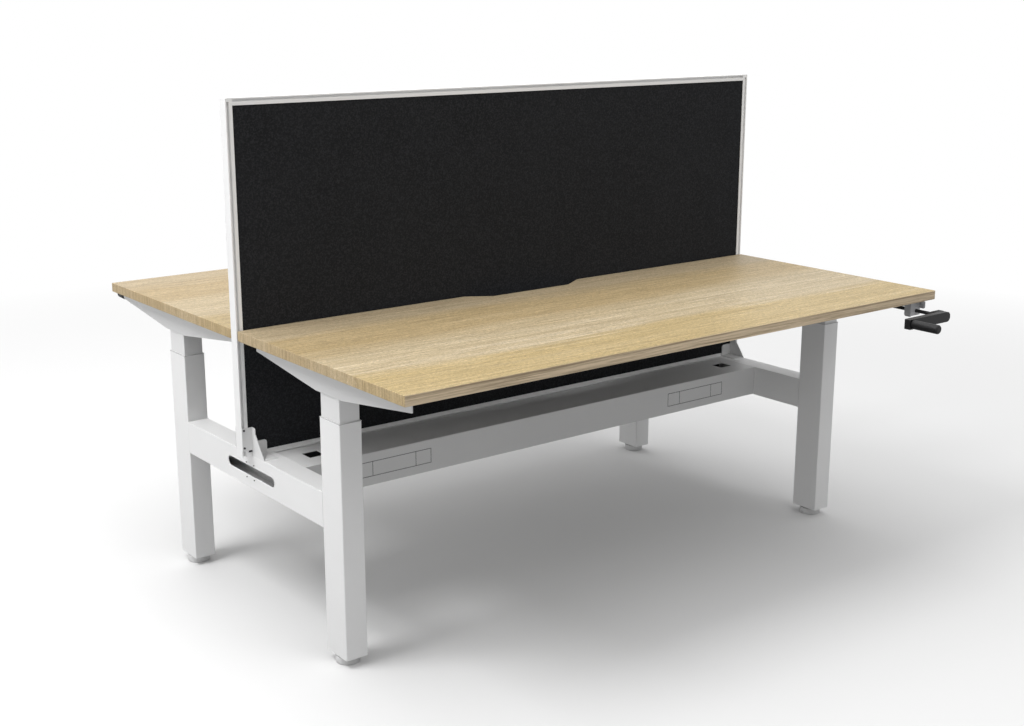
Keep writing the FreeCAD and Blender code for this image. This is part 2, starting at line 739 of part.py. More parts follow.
def corner_caps():
    """The blocks that close the screen frame's top corners."""
    caps = []
    for side in ("", "-"):
        block = doc.addObject("Part::Box", "corner_cap")
        block.setExpression("Length", bound("rail_face"))
        block.setExpression("Width", bound("screen_thickness"))
        block.setExpression("Height", bound("corner_cap_height"))
        low_x = POST_INNER_X if side == "" else "-top_length/2"
        block.setExpression("Placement.Base.x", bound(low_x))
        block.setExpression("Placement.Base.y", bound("-screen_thickness/2"))
        block.setExpression("Placement.Base.z", bound(f"{SCREEN_TOP_Z} - corner_cap_height"))
        doc.recompute()
        outer = value(f"{side}top_length/2")
        top = value(SCREEN_TOP_Z)
        chosen = []
        for number, edge in enumerate(block.Shape.Edges, start=1):
            middle = edge.CenterOfMass
            at_end = 2 * abs(middle.x - outer) < block.Length.Value
            if at_end and 2 * abs(middle.z - top) < block.Height.Value:
                chosen.append(number)
        rounded = doc.addObject("Part::Fillet", "corner_cap_round")
        rounded.Base = block
        radius = value("corner_cap_radius")
        rounded.Edges = [(number, radius, radius) for number in chosen]
        caps.append(rounded)
    group(caps, "screen_corner_caps")


def screen_board():
    """The board inside the screen, tucked into the frame's channels."""
    board = doc.addObject("Part::Box", "screen_board")
    board.Label = "screen_board"
    half = f"({PANEL_HALF} - fabric_thickness)"
    board.setExpression("Length", bound(f"2*({POST_INNER_X} + panel_tuck)"))
    board.setExpression("Width", bound(f"2*{half}"))
    board.setExpression("Height", bound("screen_height - rail_face - foot_rail_face + 2*panel_tuck"))
    board.setExpression("Placement.Base.x", bound(f"-({POST_INNER_X} + panel_tuck)"))
    board.setExpression("Placement.Base.y", bound(f"-{half}"))
    board.setExpression("Placement.Base.z", bound("base_height + foot_rail_face - panel_tuck"))
    pieces.append(board)


def screen_fabric(label, back):
    """One face of the screen's fabric, wrapped tight on the board."""
    body = start(label)
    sketch = sketch_on(body, "XZ_Plane", f"{PANEL_HALF} - fabric_thickness")
    reach = f"({POST_INNER_X} + panel_tuck)"
    rectangle(sketch, f"-{reach}", "foot_rail_face - panel_tuck", reach,
              "screen_height - rail_face + panel_tuck")
    pad(body, sketch, "fabric_thickness")
    place(body, "0", "0", "base_height", back)


def screen_bracket(label, side, back):
    """A folded bracket: a foot on the end beam, a gusset, a plate on the post and a low tab."""
    body = start(label)
    s = side
    outer = "(leg_width/2)"
    inner = "(leg_width/2 - bracket_foot_length)"
    screen_face = "-(screen_thickness/2)"
    near = f"({screen_face} - bracket_sheet)"
    far = f"({near} - bracket_foot_depth)"
    foot_plan = sketch_on(body, "XY_Plane")
    rectangle(foot_plan, f"{s}{inner}", far, f"{s}{outer}", screen_face)
    pad(body, foot_plan, "bracket_sheet")
    plate_top = "(bracket_plate_rise + bracket_plate_height)"
    gusset = sketch_on(body, "YZ_Plane", f"{s}{outer}")
    gusset_front = f"({near} - bracket_gusset_top_depth)"
    polygon(gusset, [
        (screen_face, "0"),
        (far, "0"),
        (far, "bracket_sheet"),
        (gusset_front, "bracket_gusset_bend_height"),
        (gusset_front, plate_top),
        (screen_face, plate_top),
    ])
    pad(body, gusset, "bracket_sheet", reverse=s == "")
    plate = sketch_on(body, "XZ_Plane", "screen_thickness/2")
    plate_outer = f"({outer} + column_inset)"
    plate_inner = f"({outer} - bracket_sheet)"
    polygon(plate, [
        (f"{s}{plate_outer}", "bracket_plate_rise"),
        (f"{s}{outer}", "bracket_plate_rise"),
        (f"{s}{outer}", "0"),
        (f"{s}{inner}", "0"),
        (f"{s}{inner}", "bracket_tab_height"),
        (f"{s}{plate_inner}", "bracket_tab_height"),
        (f"{s}{plate_inner}", plate_top),
        (f"{s}{plate_outer}", plate_top),
    ])
    pad(body, plate, "bracket_sheet")
    sheet_middle = f"({near} + bracket_sheet/2)"
    round_edges(body, "bracket_corner_radius", [
        (f"{s}{inner}", sheet_middle, "bracket_tab_height"),
        (f"{s}({outer} - bracket_sheet/2)", gusset_front, plate_top),
    ])
    screws = sketch_on(body, "XZ_Plane", "screen_thickness/2")
    screw_x = f"{s}({plate_outer} - bracket_screw_inset)"
    for z in ("bracket_plate_rise + bracket_screw_inset + bracket_screw_radius",
              f"{plate_top} - bracket_screw_inset"):
        circle(screws, screw_x, z, "bracket_screw_radius")
    cut(body, screws, "bracket_sheet + overrun", reverse=True)
    place(body, side + COLUMN_X, "0", "base_height", back)


def shaft_bracket(label, back):
    """The bracket on the arm's front end that carries the crank shaft."""
    body = start(label)
    thick = "shaft_bracket_sheet"
    left = f"(drive_offset - leg_width/2 - {thick})"
    right = f"({left} + {thick} + shaft_bracket_width)"
    web = sketch_on(body, "XZ_Plane")
    rectangle(web, left, "-shaft_bracket_height", right, "0")
    circle(web, "0", "-drive_drop", "shaft_radius + running_clearance")
    pad(body, web, thick)
    lug = sketch_on(body, "YZ_Plane", left)
    rectangle(lug, f"-{thick}", "-shaft_bracket_lug_height", "shaft_bracket_lug_depth", "0")
    pad(body, lug, thick)
    cheek = sketch_on(body, "YZ_Plane", right)
    rectangle(cheek, f"-{thick} - shaft_bracket_cheek_depth", "-shaft_bracket_cheek_height", "0", "0")
    pad(body, cheek, thick, reverse=True)
    round_edges(body, "shaft_bracket_radius", [
        (f"{left} + {thick}/2", "shaft_bracket_lug_depth", "-shaft_bracket_lug_height"),
        (f"{right} - {thick}/2", f"-{thick} - shaft_bracket_cheek_depth", "-shaft_bracket_cheek_height"),
    ])
    hole = sketch_on(body, "YZ_Plane", right)
    circle(hole, f"-{thick} - shaft_bracket_cheek_depth/2", "-shaft_bracket_hole_drop",
           "shaft_bracket_hole_radius")
    cut(body, hole, f"{thick} + overrun")
    place(body, DRIVE_X, f"-({COLUMN_Y} + {ARM_LENGTH}/2)", UNDERSIDE, back)


def crank(label, back):
    """The crank: a bar with a round hub end, a collar and cone on the shaft, and the grip's pin."""
    body = start(label)
    bar = sketch_on(body, "XZ_Plane")
    half = "crank_bar_height/2"
    end = "-(crank_throw + crank_overhang)"
    rectangle(bar, end, f"-{half}", half, half)
    pad(body, bar, "crank_bar_thickness")
    middle = "-crank_bar_thickness/2"
    round_edges(body, "crank_hub_radius", [(half, middle, s + half) for s in ("", "-")])
    round_edges(body, "crank_bar_radius", [(end, middle, s + half) for s in ("", "-")])
    collar = sketch_on(body, "XZ_Plane")
    circle(collar, "0", "0", "crank_collar_radius")
    pad(body, collar, "crank_collar_length", reverse=True)
    cone = sketch_on(body, "XY_Plane")
    polygon(cone, [
        ("0", "0"),
        ("crank_collar_radius", "crank_collar_length"),
        ("crank_cone_radius", "crank_collar_length + crank_cone_length"),
        ("0", "crank_collar_length + crank_cone_length"),
    ])
    turned = body.newObject("PartDesign::Revolution", body.Label + "_cone")
    turned.Profile = cone
    turned.ReferenceAxis = (cone, ["V_Axis"])
    turned.Angle = 360
    pin = sketch_on(body, "XZ_Plane", "crank_bar_thickness")
    circle(pin, "-crank_throw", "0", "crank_pin_radius")
    pad(body, pin, "crank_pin_length")
    bore = sketch_on(body, "XZ_Plane", "crank_bore_depth + running_clearance")
    circle(bore, "0", "0", "shaft_radius + crank_fit")
    cut(body, bore, "crank_bore_depth + crank_collar_length + crank_cone_length + 2*overrun")
    place(body, DRIVE_X, f"-({TOP_FRONT_Y} + crank_reach)", DRIVE_Z, back)


def grip(label, back):
    """The turning grip on the crank's pin: a barrel with a chamfered end, bored from behind."""
    body = start(label)
    bore = "(crank_pin_radius + running_clearance)"
    tip = "(crank_pin_length + grip_gap)"
    turn(body, [
        (bore, "0"),
        ("grip_radius", "0"),
        ("grip_radius", "-(grip_length - grip_end_chamfer)"),
        ("grip_radius - grip_end_chamfer", "-grip_length"),
        ("0", "-grip_length"),
        ("0", f"-{tip}"),
        (bore, f"-{tip}"),
    ], along="Y")
    place(body, f"{DRIVE_X} - crank_throw",
          f"-({TOP_FRONT_Y} + crank_reach + crank_bar_thickness + grip_gap)", DRIVE_Z, back)


SIDES = (("right", ""), ("left", "-"))
HALVES = (("front", False), ("back", True))

for half_name, is_back in HALVES:
    desktop(f"{half_name}_desktop", is_back)
    for side_name, sign in SIDES:
        stem = f"{half_name}_{side_name}"
        outer_tube(f"{stem}_outer_tube", sign, is_back)
        inner_tube(f"{stem}_inner_tube", sign, is_back)
        foot(f"{stem}_foot", sign, is_back)
        arm(f"{stem}_arm", sign, is_back)
        column_head(f"{stem}_column_head", sign, is_back)
        lead_screw(f"{stem}_lead_screw", sign, is_back)
        screen_bracket(f"{stem}_screen_bracket", sign, is_back)
    cable_tray(f"{half_name}_cable_tray", is_back)
    screen_fabric(f"{half_name}_screen_fabric", is_back)
    cross_rod(f"{half_name}_cross_rod", is_back)
    shaft_bracket(f"{half_name}_shaft_bracket", is_back)
    crank_shaft(f"{half_name}_crank_shaft", is_back)
    crank(f"{half_name}_crank", is_back)
    grip(f"{half_name}_crank_grip", is_back)

for side_name, sign in SIDES:
    end_beam(f"{side_name}_end_beam", sign)
    screen_post(f"{side_name}_screen_post", sign)

guide_collars()
nuts_and_tubes()
centre_beam()
tray_end_plates()
screen_rail("screen_top_rail", "rail_face", True, True)
screen_rail("screen_foot_rail", "foot_rail_face", False, False)
corner_caps()
screen_board()
doc.recompute()

for item in doc.Objects:
    for state in item.State:
        if state in ("Invalid", "Error"):
            raise RuntimeError(f"{item.Name} is {state}")
for piece in pieces:
    if piece.Shape.isNull() or not piece.Shape.isValid() or not piece.Shape.Solids:
        raise RuntimeError(f"{piece.Label} has no sound solid")

os.makedirs("parts", exist_ok=True)
for piece in pieces:
    piece.Shape.exportStep(f"parts/{piece.Label}.step")
    reach = piece.Shape.BoundBox
    print(f"{piece.Label}: {len(piece.Shape.Solids)} solids, x {reach.XMin:.1f} {reach.XMax:.1f},"
          f" y {reach.YMin:.1f} {reach.YMax:.1f}, z {reach.ZMin:.1f} {reach.ZMax:.1f}")
print(len(pieces), "sub-parts")
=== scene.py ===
"""Back-to-back workstation, dressed: finishes, screen cloth, screws, floor, lights and camera.

Metres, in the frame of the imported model: the origin is on the floor under the middle, +X runs
along the tops, the front desk is at -Y and +Z is up.
"""
import logging
import math
from contextlib import contextmanager
from dataclasses import dataclass
from enum import Enum
from functools import cached_property
from typing import Iterable, Iterator, Mapping, Sequence, Union

import bmesh
import bpy
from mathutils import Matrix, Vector


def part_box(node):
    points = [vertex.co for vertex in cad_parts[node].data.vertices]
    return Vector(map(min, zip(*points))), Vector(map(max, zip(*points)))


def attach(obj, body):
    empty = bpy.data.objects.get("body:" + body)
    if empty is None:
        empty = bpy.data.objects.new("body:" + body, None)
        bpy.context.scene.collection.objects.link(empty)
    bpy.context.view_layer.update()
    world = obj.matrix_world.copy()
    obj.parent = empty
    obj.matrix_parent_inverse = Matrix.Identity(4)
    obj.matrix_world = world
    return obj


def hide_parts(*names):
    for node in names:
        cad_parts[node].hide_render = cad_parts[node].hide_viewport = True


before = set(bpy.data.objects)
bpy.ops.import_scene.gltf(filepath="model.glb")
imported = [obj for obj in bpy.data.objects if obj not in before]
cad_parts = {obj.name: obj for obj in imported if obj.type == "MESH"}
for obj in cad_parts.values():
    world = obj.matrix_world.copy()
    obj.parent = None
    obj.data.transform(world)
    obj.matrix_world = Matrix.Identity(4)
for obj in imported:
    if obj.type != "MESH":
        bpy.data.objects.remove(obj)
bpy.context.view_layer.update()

log = logging.getLogger("workstation")

Colour = tuple[float, float, float]
Triple = tuple[float, float, float]
Socket = bpy.types.NodeSocket
Sockets = Mapping[str, Socket]
Source = Union[Socket, float, Colour]
Grid = list[list[bmesh.types.BMVert]]

BLACK: Colour = (0.0, 0.0, 0.0)
WHITE: Colour = (1.0, 1.0, 1.0)
SOFT_RANGE = (0.3, 0.7)      # where a soft noise mostly stays
MIX_INPUTS = (0, 6, 7)       # the mix node's factor and its two colours
MIX_OUTPUT = 2               # the colour that it puts out


class Half(Enum):
    """The two desks; each value is the start of its pieces' names."""

    FRONT = "front"
    BACK = "back"

    @property
    def sign(self) -> float:
        """Return the side of the middle that the desk stands on, along Y."""
        return -1.0 if self is Half.FRONT else 1.0


class Side(Enum):
    """The two ends of a desk, as its user sees them."""

    RIGHT = "right"
    LEFT = "left"


class Run(Enum):
    """The direction that a drawn or extruded finish runs along, as a stretch of its pattern."""

    ALONG_X = (0.02, 1.0, 1.0)
    ALONG_Y = (1.0, 0.02, 1.0)
    ALONG_Z = (1.0, 1.0, 0.02)


@dataclass(frozen=True)
class Span:
    """A range of a pattern's values, and what its two ends become."""

    low: float
    high: float
    to_low: float = 0.0
    to_high: float = 1.0


@dataclass(frozen=True)
class Layer:
    """One layer of the oak's figure: its stretch, how much finer than the figure, and its noise."""

    stretch: Triple
    finer: float
    detail: float
    roughness: float


OAK_LAYERS = {
    "Streaks": Layer((0.02, 1.0, 1.0), 1.25, 5.0, 0.68),
    "Fibres": Layer((0.03, 1.0, 1.0), 5.0, 4.0, 0.7),
    "Flecks": Layer((0.45, 1.0, 1.0), 3.4, 3.0, 0.85),
    "Pores": Layer((0.045, 1.0, 1.0), 16.0, 2.0, 0.6),
    "Lines": Layer((0.008, 1.0, 1.0), 2.6, 3.0, 0.6),
}


def grey(level: float) -> Colour:
    """Return a neutral colour."""
    return (level, level, level)


def paint(red: int, green: int, blue: int) -> Colour:
    """Turn a colour as seen on a screen, 0 to 255, into the linear one that a shader takes.

    Args:
        red: The red part.
        green: The green part.
        blue: The blue part.

    Returns:
        The same colour in linear parts from 0 to 1.
    """
    linear = []
    for part in (red, green, blue):
        share = part / 255
        linear.append(share / 12.92 if share <= 0.04045 else ((share + 0.055) / 1.055) ** 2.4)
    return tuple(linear)


class NodeGraph:
    """A node tree under construction, with short ways to add what the finishes use."""

    def __init__(self, tree: bpy.types.NodeTree) -> None:
        """Take a tree over and empty it."""
        self.tree = tree
        tree.nodes.clear()

    def node(self, kind: str, **settings: object) -> bpy.types.Node:
        """Add one node.

        Args:
            kind: Blender's name of the node's type.
            **settings: Properties to set on it.

        Returns:
            The new node.
        """
        made = self.tree.nodes.new(kind)
        for name, value in settings.items():
            setattr(made, name, value)
        return made

    def feed(self, socket: Socket, source: Source) -> None:
        """Join a socket to a source, or set its own value.

        Args:
            socket: The input to feed.
            source: An output, a number, a vector or a colour.
        """
        if isinstance(source, bpy.types.NodeSocket):
            self.tree.links.new(source, socket)
        elif isinstance(source, tuple) and len(socket.default_value) == 4:
            socket.default_value = (*source, 1.0)
        else:
            socket.default_value = source

    def fed(self, kind: str, sources: Iterable[Source], **settings: object) -> bpy.types.Node:
        """Add one node and feed its inputs in their order.

        Args:
            kind: Blender's name of the node's type.
            sources: What feeds its inputs.
            **settings: Properties to set on it.

        Returns:
            The new node.
        """
        node = self.node(kind, **settings)
        for socket, source in zip(node.inputs, sources):
            self.feed(socket, source)
        return node

    def wired(self, kind: str, sources: Mapping[str, Source], **settings: object) -> bpy.types.Node:
        """Add one node and feed its inputs by their names.

        Args:
            kind: Blender's name of the node's type.
            sources: What feeds its inputs.
            **settings: Properties to set on it.

        Returns:
            The new node.
        """
        node = self.node(kind, **settings)
        for name, source in sources.items():
            self.feed(node.inputs[name], source)
        return node

    def math(self, operation: str, first: Source, second: Source = 0.0) -> Socket:
        """Work out one sum, which goes by Blender's name."""
        return self.fed("ShaderNodeMath", (first, second), operation=operation).outputs[0]

    def product(self, first: Source, *others: Source) -> Socket:
        """Multiply numbers or masks.

        Args:
            first: The first number.
            *others: What it is multiplied by.

        Returns:
            The output that holds the product.
        """
        for other in others:
            first = self.math("MULTIPLY", first, other)
        return first

    def average(self, first: Source, second: Source) -> Socket:
        """Return the middle of two numbers."""
        return self.product(self.math("ADD", first, second), 0.5)

    def above(self, value: Source, level: Source) -> Socket:
        """Return a mask of where a value is over a level."""
        return self.math("GREATER_THAN", value, level)

    def between(self, value: Source, low: float, high: float) -> Socket:
        """Return a mask of where a value is between two levels."""
        return self.product(self.above(value, low), self.math("LESS_THAN", value, high))

    def vectors(self, operation: str, first: Source, second: Source = (0.0, 0.0, 0.0)) -> bpy.types.Node:
        """Work out one sum on vectors, and return its node, whose outputs are Vector and Value."""
        return self.fed("ShaderNodeVectorMath", (first, second), operation=operation)

    def stretch(self, vector: Source, factors: Triple) -> Socket:
        """Multiply a vector part by part."""
        return self.vectors("MULTIPLY", vector, factors).outputs["Vector"]

    def parts(self, vector: Source) -> tuple[Socket, ...]:
        """Return the X, Y and Z of a vector."""
        return tuple(self.fed("ShaderNodeSeparateXYZ", (vector,)).outputs)

    def vector(self, x: Source = 0.0, y: Source = 0.0, z: Source = 0.0) -> Socket:
        """Put a vector together from its parts."""
        return self.fed("ShaderNodeCombineXYZ", (x, y, z)).outputs[0]

    def noise(self, vector: Source, scale: Source, detail: float = 2.0, roughness: float = 0.5) -> Socket:
        """Return a soft random pattern, from 0 to 1, whose scale is its cells in a metre."""
        sources = {"Vector": vector, "Scale": scale, "Detail": detail, "Roughness": roughness}
        return self.wired("ShaderNodeTexNoise", sources).outputs["Fac"]

    def spread(self, value: Source, span: Span) -> Socket:
        """Carry a range of values over to another and stop at its ends."""
        ends = (value, span.low, span.high, span.to_low, span.to_high)
        return self.fed("ShaderNodeMapRange", ends, clamp=True).outputs["Result"]

    def vary(self, pattern: Source, to_low: float, to_high: float) -> Socket:
        """Carry the range that a soft pattern mostly keeps to over to another."""
        return self.spread(pattern, Span(*SOFT_RANGE, to_low, to_high))

    def mix(self, factor: Source, first: Source, second: Source, blend: str = "MIX") -> Socket:
        """Blend two colours.

        Args:
            factor: The share of the second colour.
            first: The first colour.
            second: The second colour.
            blend: Blender's name of the way they blend.

        Returns:
            The output that holds the blended colour.
        """
        node = self.node("ShaderNodeMix", data_type="RGBA", blend_type=blend)
        for place, source in zip(MIX_INPUTS, (factor, first, second)):
            self.feed(node.inputs[place], source)
        return node.outputs[MIX_OUTPUT]

    def tones(self, value: Source, stops: Sequence[tuple[float, Colour]]) -> Socket:
        """Give a value the colours of a row of stops.

        Args:
            value: The value, from 0 to 1.
            stops: Places from 0 to 1, each with its colour.

        Returns:
            The output that holds the colour.
        """
        node = self.fed("ShaderNodeValToRGB", (value,))
        elements = node.color_ramp.elements
        while len(elements) < len(stops):
            elements.new(1.0)
        for element, (place, colour) in zip(elements, stops):
            element.position = place
            element.color = (*colour, 1.0)
        return node.outputs[0]

    def bump(self, height: Source, distance: float) -> Socket:
        """Turn a height pattern, whose 1 stands a distance high, into a surface normal."""
        sources = {"Strength": 1.0, "Distance": distance, "Height": height}
        return self.wired("ShaderNodeBump", sources).outputs["Normal"]

    def surface(self, shader: bpy.types.Node, colour: Source, roughness: Source, height: Source,
                relief: float) -> None:
        """Feed a shader its colour, its roughness and its relief.

        Args:
            shader: The Principled shader.
            colour: The colour.
            roughness: The roughness.
            height: The relief's pattern, from 0 to 1.
            relief: How high 1 stands, in metres.
        """
        self.feed(shader.inputs["Base Color"], colour)
        self.feed(shader.inputs["Roughness"], roughness)
        self.feed(shader.inputs["Normal"], self.bump(height, relief))

    def group(self, tree: bpy.types.NodeTree, **sources: Source) -> bpy.types.Node:
        """Place a shared group, whose inputs are fed by name."""
        return self.wired("ShaderNodeGroup", sources, node_tree=tree)

    def seen(self) -> Socket:
        """Tell the rays apart by which the camera, gloss and glass see a surface.

        Returns:
            The mask of those rays.
        """
        path = self.node("ShaderNodeLightPath").outputs
        seen = self.math("MAXIMUM", path["Is Camera Ray"], path["Is Glossy Ray"])
        return self.math("MAXIMUM", seen, path["Is Transmission Ray"])


@dataclass
class SharedEffects:
    """The shader groups that several finishes use, each built when it is first asked for."""

    slow_scale: float = 3.5
    broad_scale: float = 60.0
    patch_scale: float = 90.0
    patches: Span = Span(0.4, 0.6)
    corner_turn: Span = Span(0.99, 0.8)
    corner_samples: int = 4
    sway_stretch: Triple = (0.8, 3.0, 3.0)
    sway_scale: float = 1.6
    sway_reach: float = 0.022

    def begin(self, name: str, outputs: Sequence[str], **inputs: str) -> tuple[NodeGraph, Sockets, Sockets]:
        """Make an empty group with its sockets.

        Args:
            name: The group's name.
            outputs: Names of its outputs, which are all values.
            **inputs: The kinds of its inputs, by name.

        Returns:
            Its graph, the sockets that it is given, and those that take its results.
        """
        tree = bpy.data.node_groups.new(name, "ShaderNodeTree")
        for label, kind in inputs.items():
            tree.interface.new_socket(name=label, in_out="INPUT", socket_type=f"NodeSocket{kind}")
        for label in outputs:
            tree.interface.new_socket(name=label, in_out="OUTPUT", socket_type="NodeSocketFloat")
        graph = NodeGraph(tree)
        return graph, graph.node("NodeGroupInput").outputs, graph.node("NodeGroupOutput").inputs

    @cached_property
    def coat_skin(self) -> bpy.types.NodeTree:
        """The fine skin of a sprayed or moulded surface, with its slow change of tone.

        Returns:
            The group's tree.
        """
        graph, given, result = self.begin("coat_skin", ("Height", "Tone"), Vector="Vector", Grain="Float")
        fine = graph.noise(given["Vector"], given["Grain"], detail=2.0, roughness=0.6)
        slow = graph.noise(given["Vector"], self.slow_scale, detail=3.0, roughness=0.55)
        graph.feed(result["Height"], fine)
        graph.feed(result["Tone"], graph.average(slow, fine))
        return graph.tree

    @cached_property
    def drawn_lines(self) -> bpy.types.NodeTree:
        """The fine lines that drawing, turning or extruding leaves along a piece.

        Returns:
            The group's tree.
        """
        graph, given, result = self.begin("drawn_lines", ("Height", "Tone"), Vector="Vector", Lines="Float")
        lines = graph.noise(given["Vector"], given["Lines"], detail=3.0, roughness=0.7)
        broad = graph.noise(given["Vector"], self.broad_scale)
        graph.feed(result["Height"], lines)
        graph.feed(result["Tone"], graph.average(lines, broad))
        return graph.tree

    @cached_property
    def corner_mask(self) -> bpy.types.NodeTree:
        """A mask of the surface near its corners.

        Returns:
            The group's tree.
        """
        graph, given, result = self.begin("corner_mask", ("Mask",), Reach="Float")
        rounded = graph.node("ShaderNodeBevel", samples=self.corner_samples)
        graph.feed(rounded.inputs["Radius"], given["Reach"])
        surface = graph.node("ShaderNodeNewGeometry")
        alike = graph.vectors("DOT_PRODUCT", rounded.outputs["Normal"], surface.outputs["Normal"])
        graph.feed(result["Mask"], graph.spread(alike.outputs["Value"], self.corner_turn))
        return graph.tree

    @cached_property
    def worn_glint_edges(self) -> bpy.types.NodeTree:
        """A mask of the edges, broken up in patches, for wear and a painted highlight along them.

        Returns:
            The group's tree.
        """
        graph, given, result = self.begin("worn_glint_edges", ("Mask",), Vector="Vector", Reach="Float")
        edge = graph.group(self.corner_mask, Reach=given["Reach"]).outputs["Mask"]
        patches = graph.spread(graph.noise(given["Vector"], self.patch_scale, detail=3.0), self.patches)
        graph.feed(result["Mask"], graph.product(edge, patches))
        return graph.tree

    @cached_property
    def oak_figure(self) -> bpy.types.NodeTree:
        """The streaks, fibres, flecks, pores and lines of oak with its grain along X.

        Returns:
            The group's tree.
        """
        graph, given, result = self.begin("oak_figure", tuple(OAK_LAYERS), Vector="Vector", Spacing="Float")
        wander = graph.noise(graph.stretch(given["Vector"], self.sway_stretch), self.sway_scale)
        sway = graph.product(graph.math("SUBTRACT", wander, 0.5), self.sway_reach)
        path = graph.vectors("ADD", given["Vector"], graph.vector(y=sway, z=sway)).outputs["Vector"]
        for label, layer in OAK_LAYERS.items():
            scale = graph.product(given["Spacing"], layer.finer)
            pattern = graph.noise(graph.stretch(path, layer.stretch), scale, layer.detail, layer.roughness)
            graph.feed(result[label], pattern)
        return graph.tree


EFFECTS = SharedEffects()


@dataclass(frozen=True)
class Finish:
    """What every finish has: its name, its colour and how rough it is."""

    name: str
    colour: Colour
    roughness: float

    def start(self) -> tuple[NodeGraph, bpy.types.Node, Socket]:
        """Begin the finish's material.

        Returns:
            The graph, its shader and the place on the object.
        """
        material = bpy.data.materials.new(self.name)
        material.use_nodes = True
        graph = NodeGraph(material.node_tree)
        shader = graph.node("ShaderNodeBsdfPrincipled")
        graph.feed(graph.node("ShaderNodeOutputMaterial").inputs["Surface"], shader.outputs[0])
        return graph, shader, graph.node("ShaderNodeTexCoord").outputs["Object"]

    def gloss(self, graph: NodeGraph, pattern: Source, duller: float, shinier: float) -> Socket:
        """Return the finish's roughness, uneven with a pattern."""
        return graph.vary(pattern, self.roughness + duller, self.roughness - shinier)

    def build(self) -> None:
        """Wire the material; each kind of finish has its own way."""
        raise NotImplementedError

    def material(self) -> bpy.types.Material:
        """Build the finish's material when it is first asked for.

        Returns:
            The material.
        """
        if self.name not in bpy.data.materials:
            self.build()
        return bpy.data.materials[self.name]


@dataclass(frozen=True)
class PowderCoat(Finish):
    """Sprayed and baked paint: an even satin coat with a fine skin."""

    grain: float = 900.0
    relief: float = 0.00005
    change: float = 0.05
    uneven: float = 0.05

    def build(self) -> None:
        """Wire the coat's slow change of tone, uneven gloss and skin."""
        graph, shader, place = self.start()
        skin = graph.group(EFFECTS.coat_skin, Vector=place, Grain=self.grain).outputs
        coat = graph.mix(graph.vary(skin["Tone"], 1.0 - self.change, 1.0), BLACK, self.colour)
        gloss = self.gloss(graph, skin["Tone"], self.uneven, self.uneven)
        graph.surface(shader, self.add_painted_shade(graph, coat, place), gloss, skin["Height"], self.relief)

    def add_painted_shade(self, graph: NodeGraph, coat: Socket, place: Socket) -> Socket:
        """Return the coat's colour with any painted shade; a plain coat has none."""
        return coat


@dataclass(frozen=True)
class TrayCoat(PowderCoat):
    """The cable trays' coat, with painted shade inside the slots that outline the socket knock-outs and on
    their rims, and a painted shadow on the lips beside the centre beam.
    """

    line_depth: float = 0.0003
    sheet: float = 0.002
    line_zone: tuple[float, float] = (0.018, 0.070)
    rim_reach: float = 0.0018
    rim_share: float = 0.9
    lip_face: float = 0.0004
    # Painted shadow of the narrow gap beside the centre beam, laid on the trays' lips.
    bare: Colour = (0.05, 0.05, 0.052)

    def add_painted_shade(self, graph: NodeGraph, coat: Socket, place: Socket) -> Socket:
        """Paint shade into the knock-out slots inside the outer sheet and onto their rims, and paint the
        narrow gap's shadow onto the lips beside the centre beam.

        Args:
            graph: The material's graph.
            coat: The coat's colour.
            place: The place on the object.

        Returns:
            The colour with its painted shade.
        """
        low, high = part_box("back_cable_tray")
        _, y, z = graph.parts(place)
        depth = graph.math("SUBTRACT", high.y, graph.math("ABSOLUTE", y))
        drop = graph.math("SUBTRACT", high.z, z)
        # Painted shade: the walls of the knock-out slots inside the sheet, and the rims at their mouths, are
        # darkened as shade falls in them.
        inside = graph.between(depth, self.line_depth, self.sheet - self.line_depth)
        corners = graph.group(EFFECTS.corner_mask, Reach=self.rim_reach).outputs["Mask"]
        rim = graph.product(corners, graph.math("LESS_THAN", depth, self.line_depth), self.rim_share)
        lines = graph.product(graph.math("MAXIMUM", inside, rim), graph.between(drop, *self.line_zone))
        # Painted shadow: the lips that face the centre beam across the narrow gap.
        lip = graph.above(depth, high.y - low.y - self.lip_face)
        lined = graph.mix(lines, coat, BLACK)
        return graph.mix(graph.product(lip, graph.above(drop, self.sheet)), lined, self.bare)


@dataclass(frozen=True)
class BeamCoat(PowderCoat):
    """The end beams' coat, with painted shade on the inside of the folded beam."""

    wall: float = 0.00315
    # Painted shade inside the closed, folded beam.
    bare: Colour = (0.06, 0.06, 0.065)

    def add_painted_shade(self, graph: NodeGraph, coat: Socket, place: Socket) -> Socket:
        """Paint shade on what lies inside the folded sheet.

        Args:
            graph: The material's graph.
            coat: The coat's colour.
            place: The place on the object.

        Returns:
            The colour with its painted shade inside.
        """
        low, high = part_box("left_end_beam")
        x, _, z = graph.parts(place)
        depth = graph.math("SUBTRACT", -low.x, graph.math("ABSOLUTE", x))
        drop = graph.math("SUBTRACT", high.z, z)
        # painted shade: what lies inside the folded sheet is near black
        inside = graph.product(graph.between(depth, self.wall, high.x - low.x - self.wall),
                               graph.between(drop, self.wall, high.z - low.z - self.wall))
        return graph.mix(inside, coat, self.bare)


@dataclass(frozen=True)
class SpineCoat(PowderCoat):
    """The centre beam's coat, with painted shade on the sides where the trays stand close beside them."""

    fold: float = 0.003
    # Painted shadow of the narrow gaps between the centre beam and the trays.
    bare: Colour = (0.05, 0.05, 0.052)

    def add_painted_shade(self, graph: NodeGraph, coat: Socket, place: Socket) -> Socket:
        """Paint shade on the sides below the fold of the top."""
        drop = graph.math("SUBTRACT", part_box("centre_beam")[1].z, graph.parts(place)[2])
        # painted shadow on the sides below the fold
        return graph.mix(graph.above(drop, self.fold), coat, self.bare)


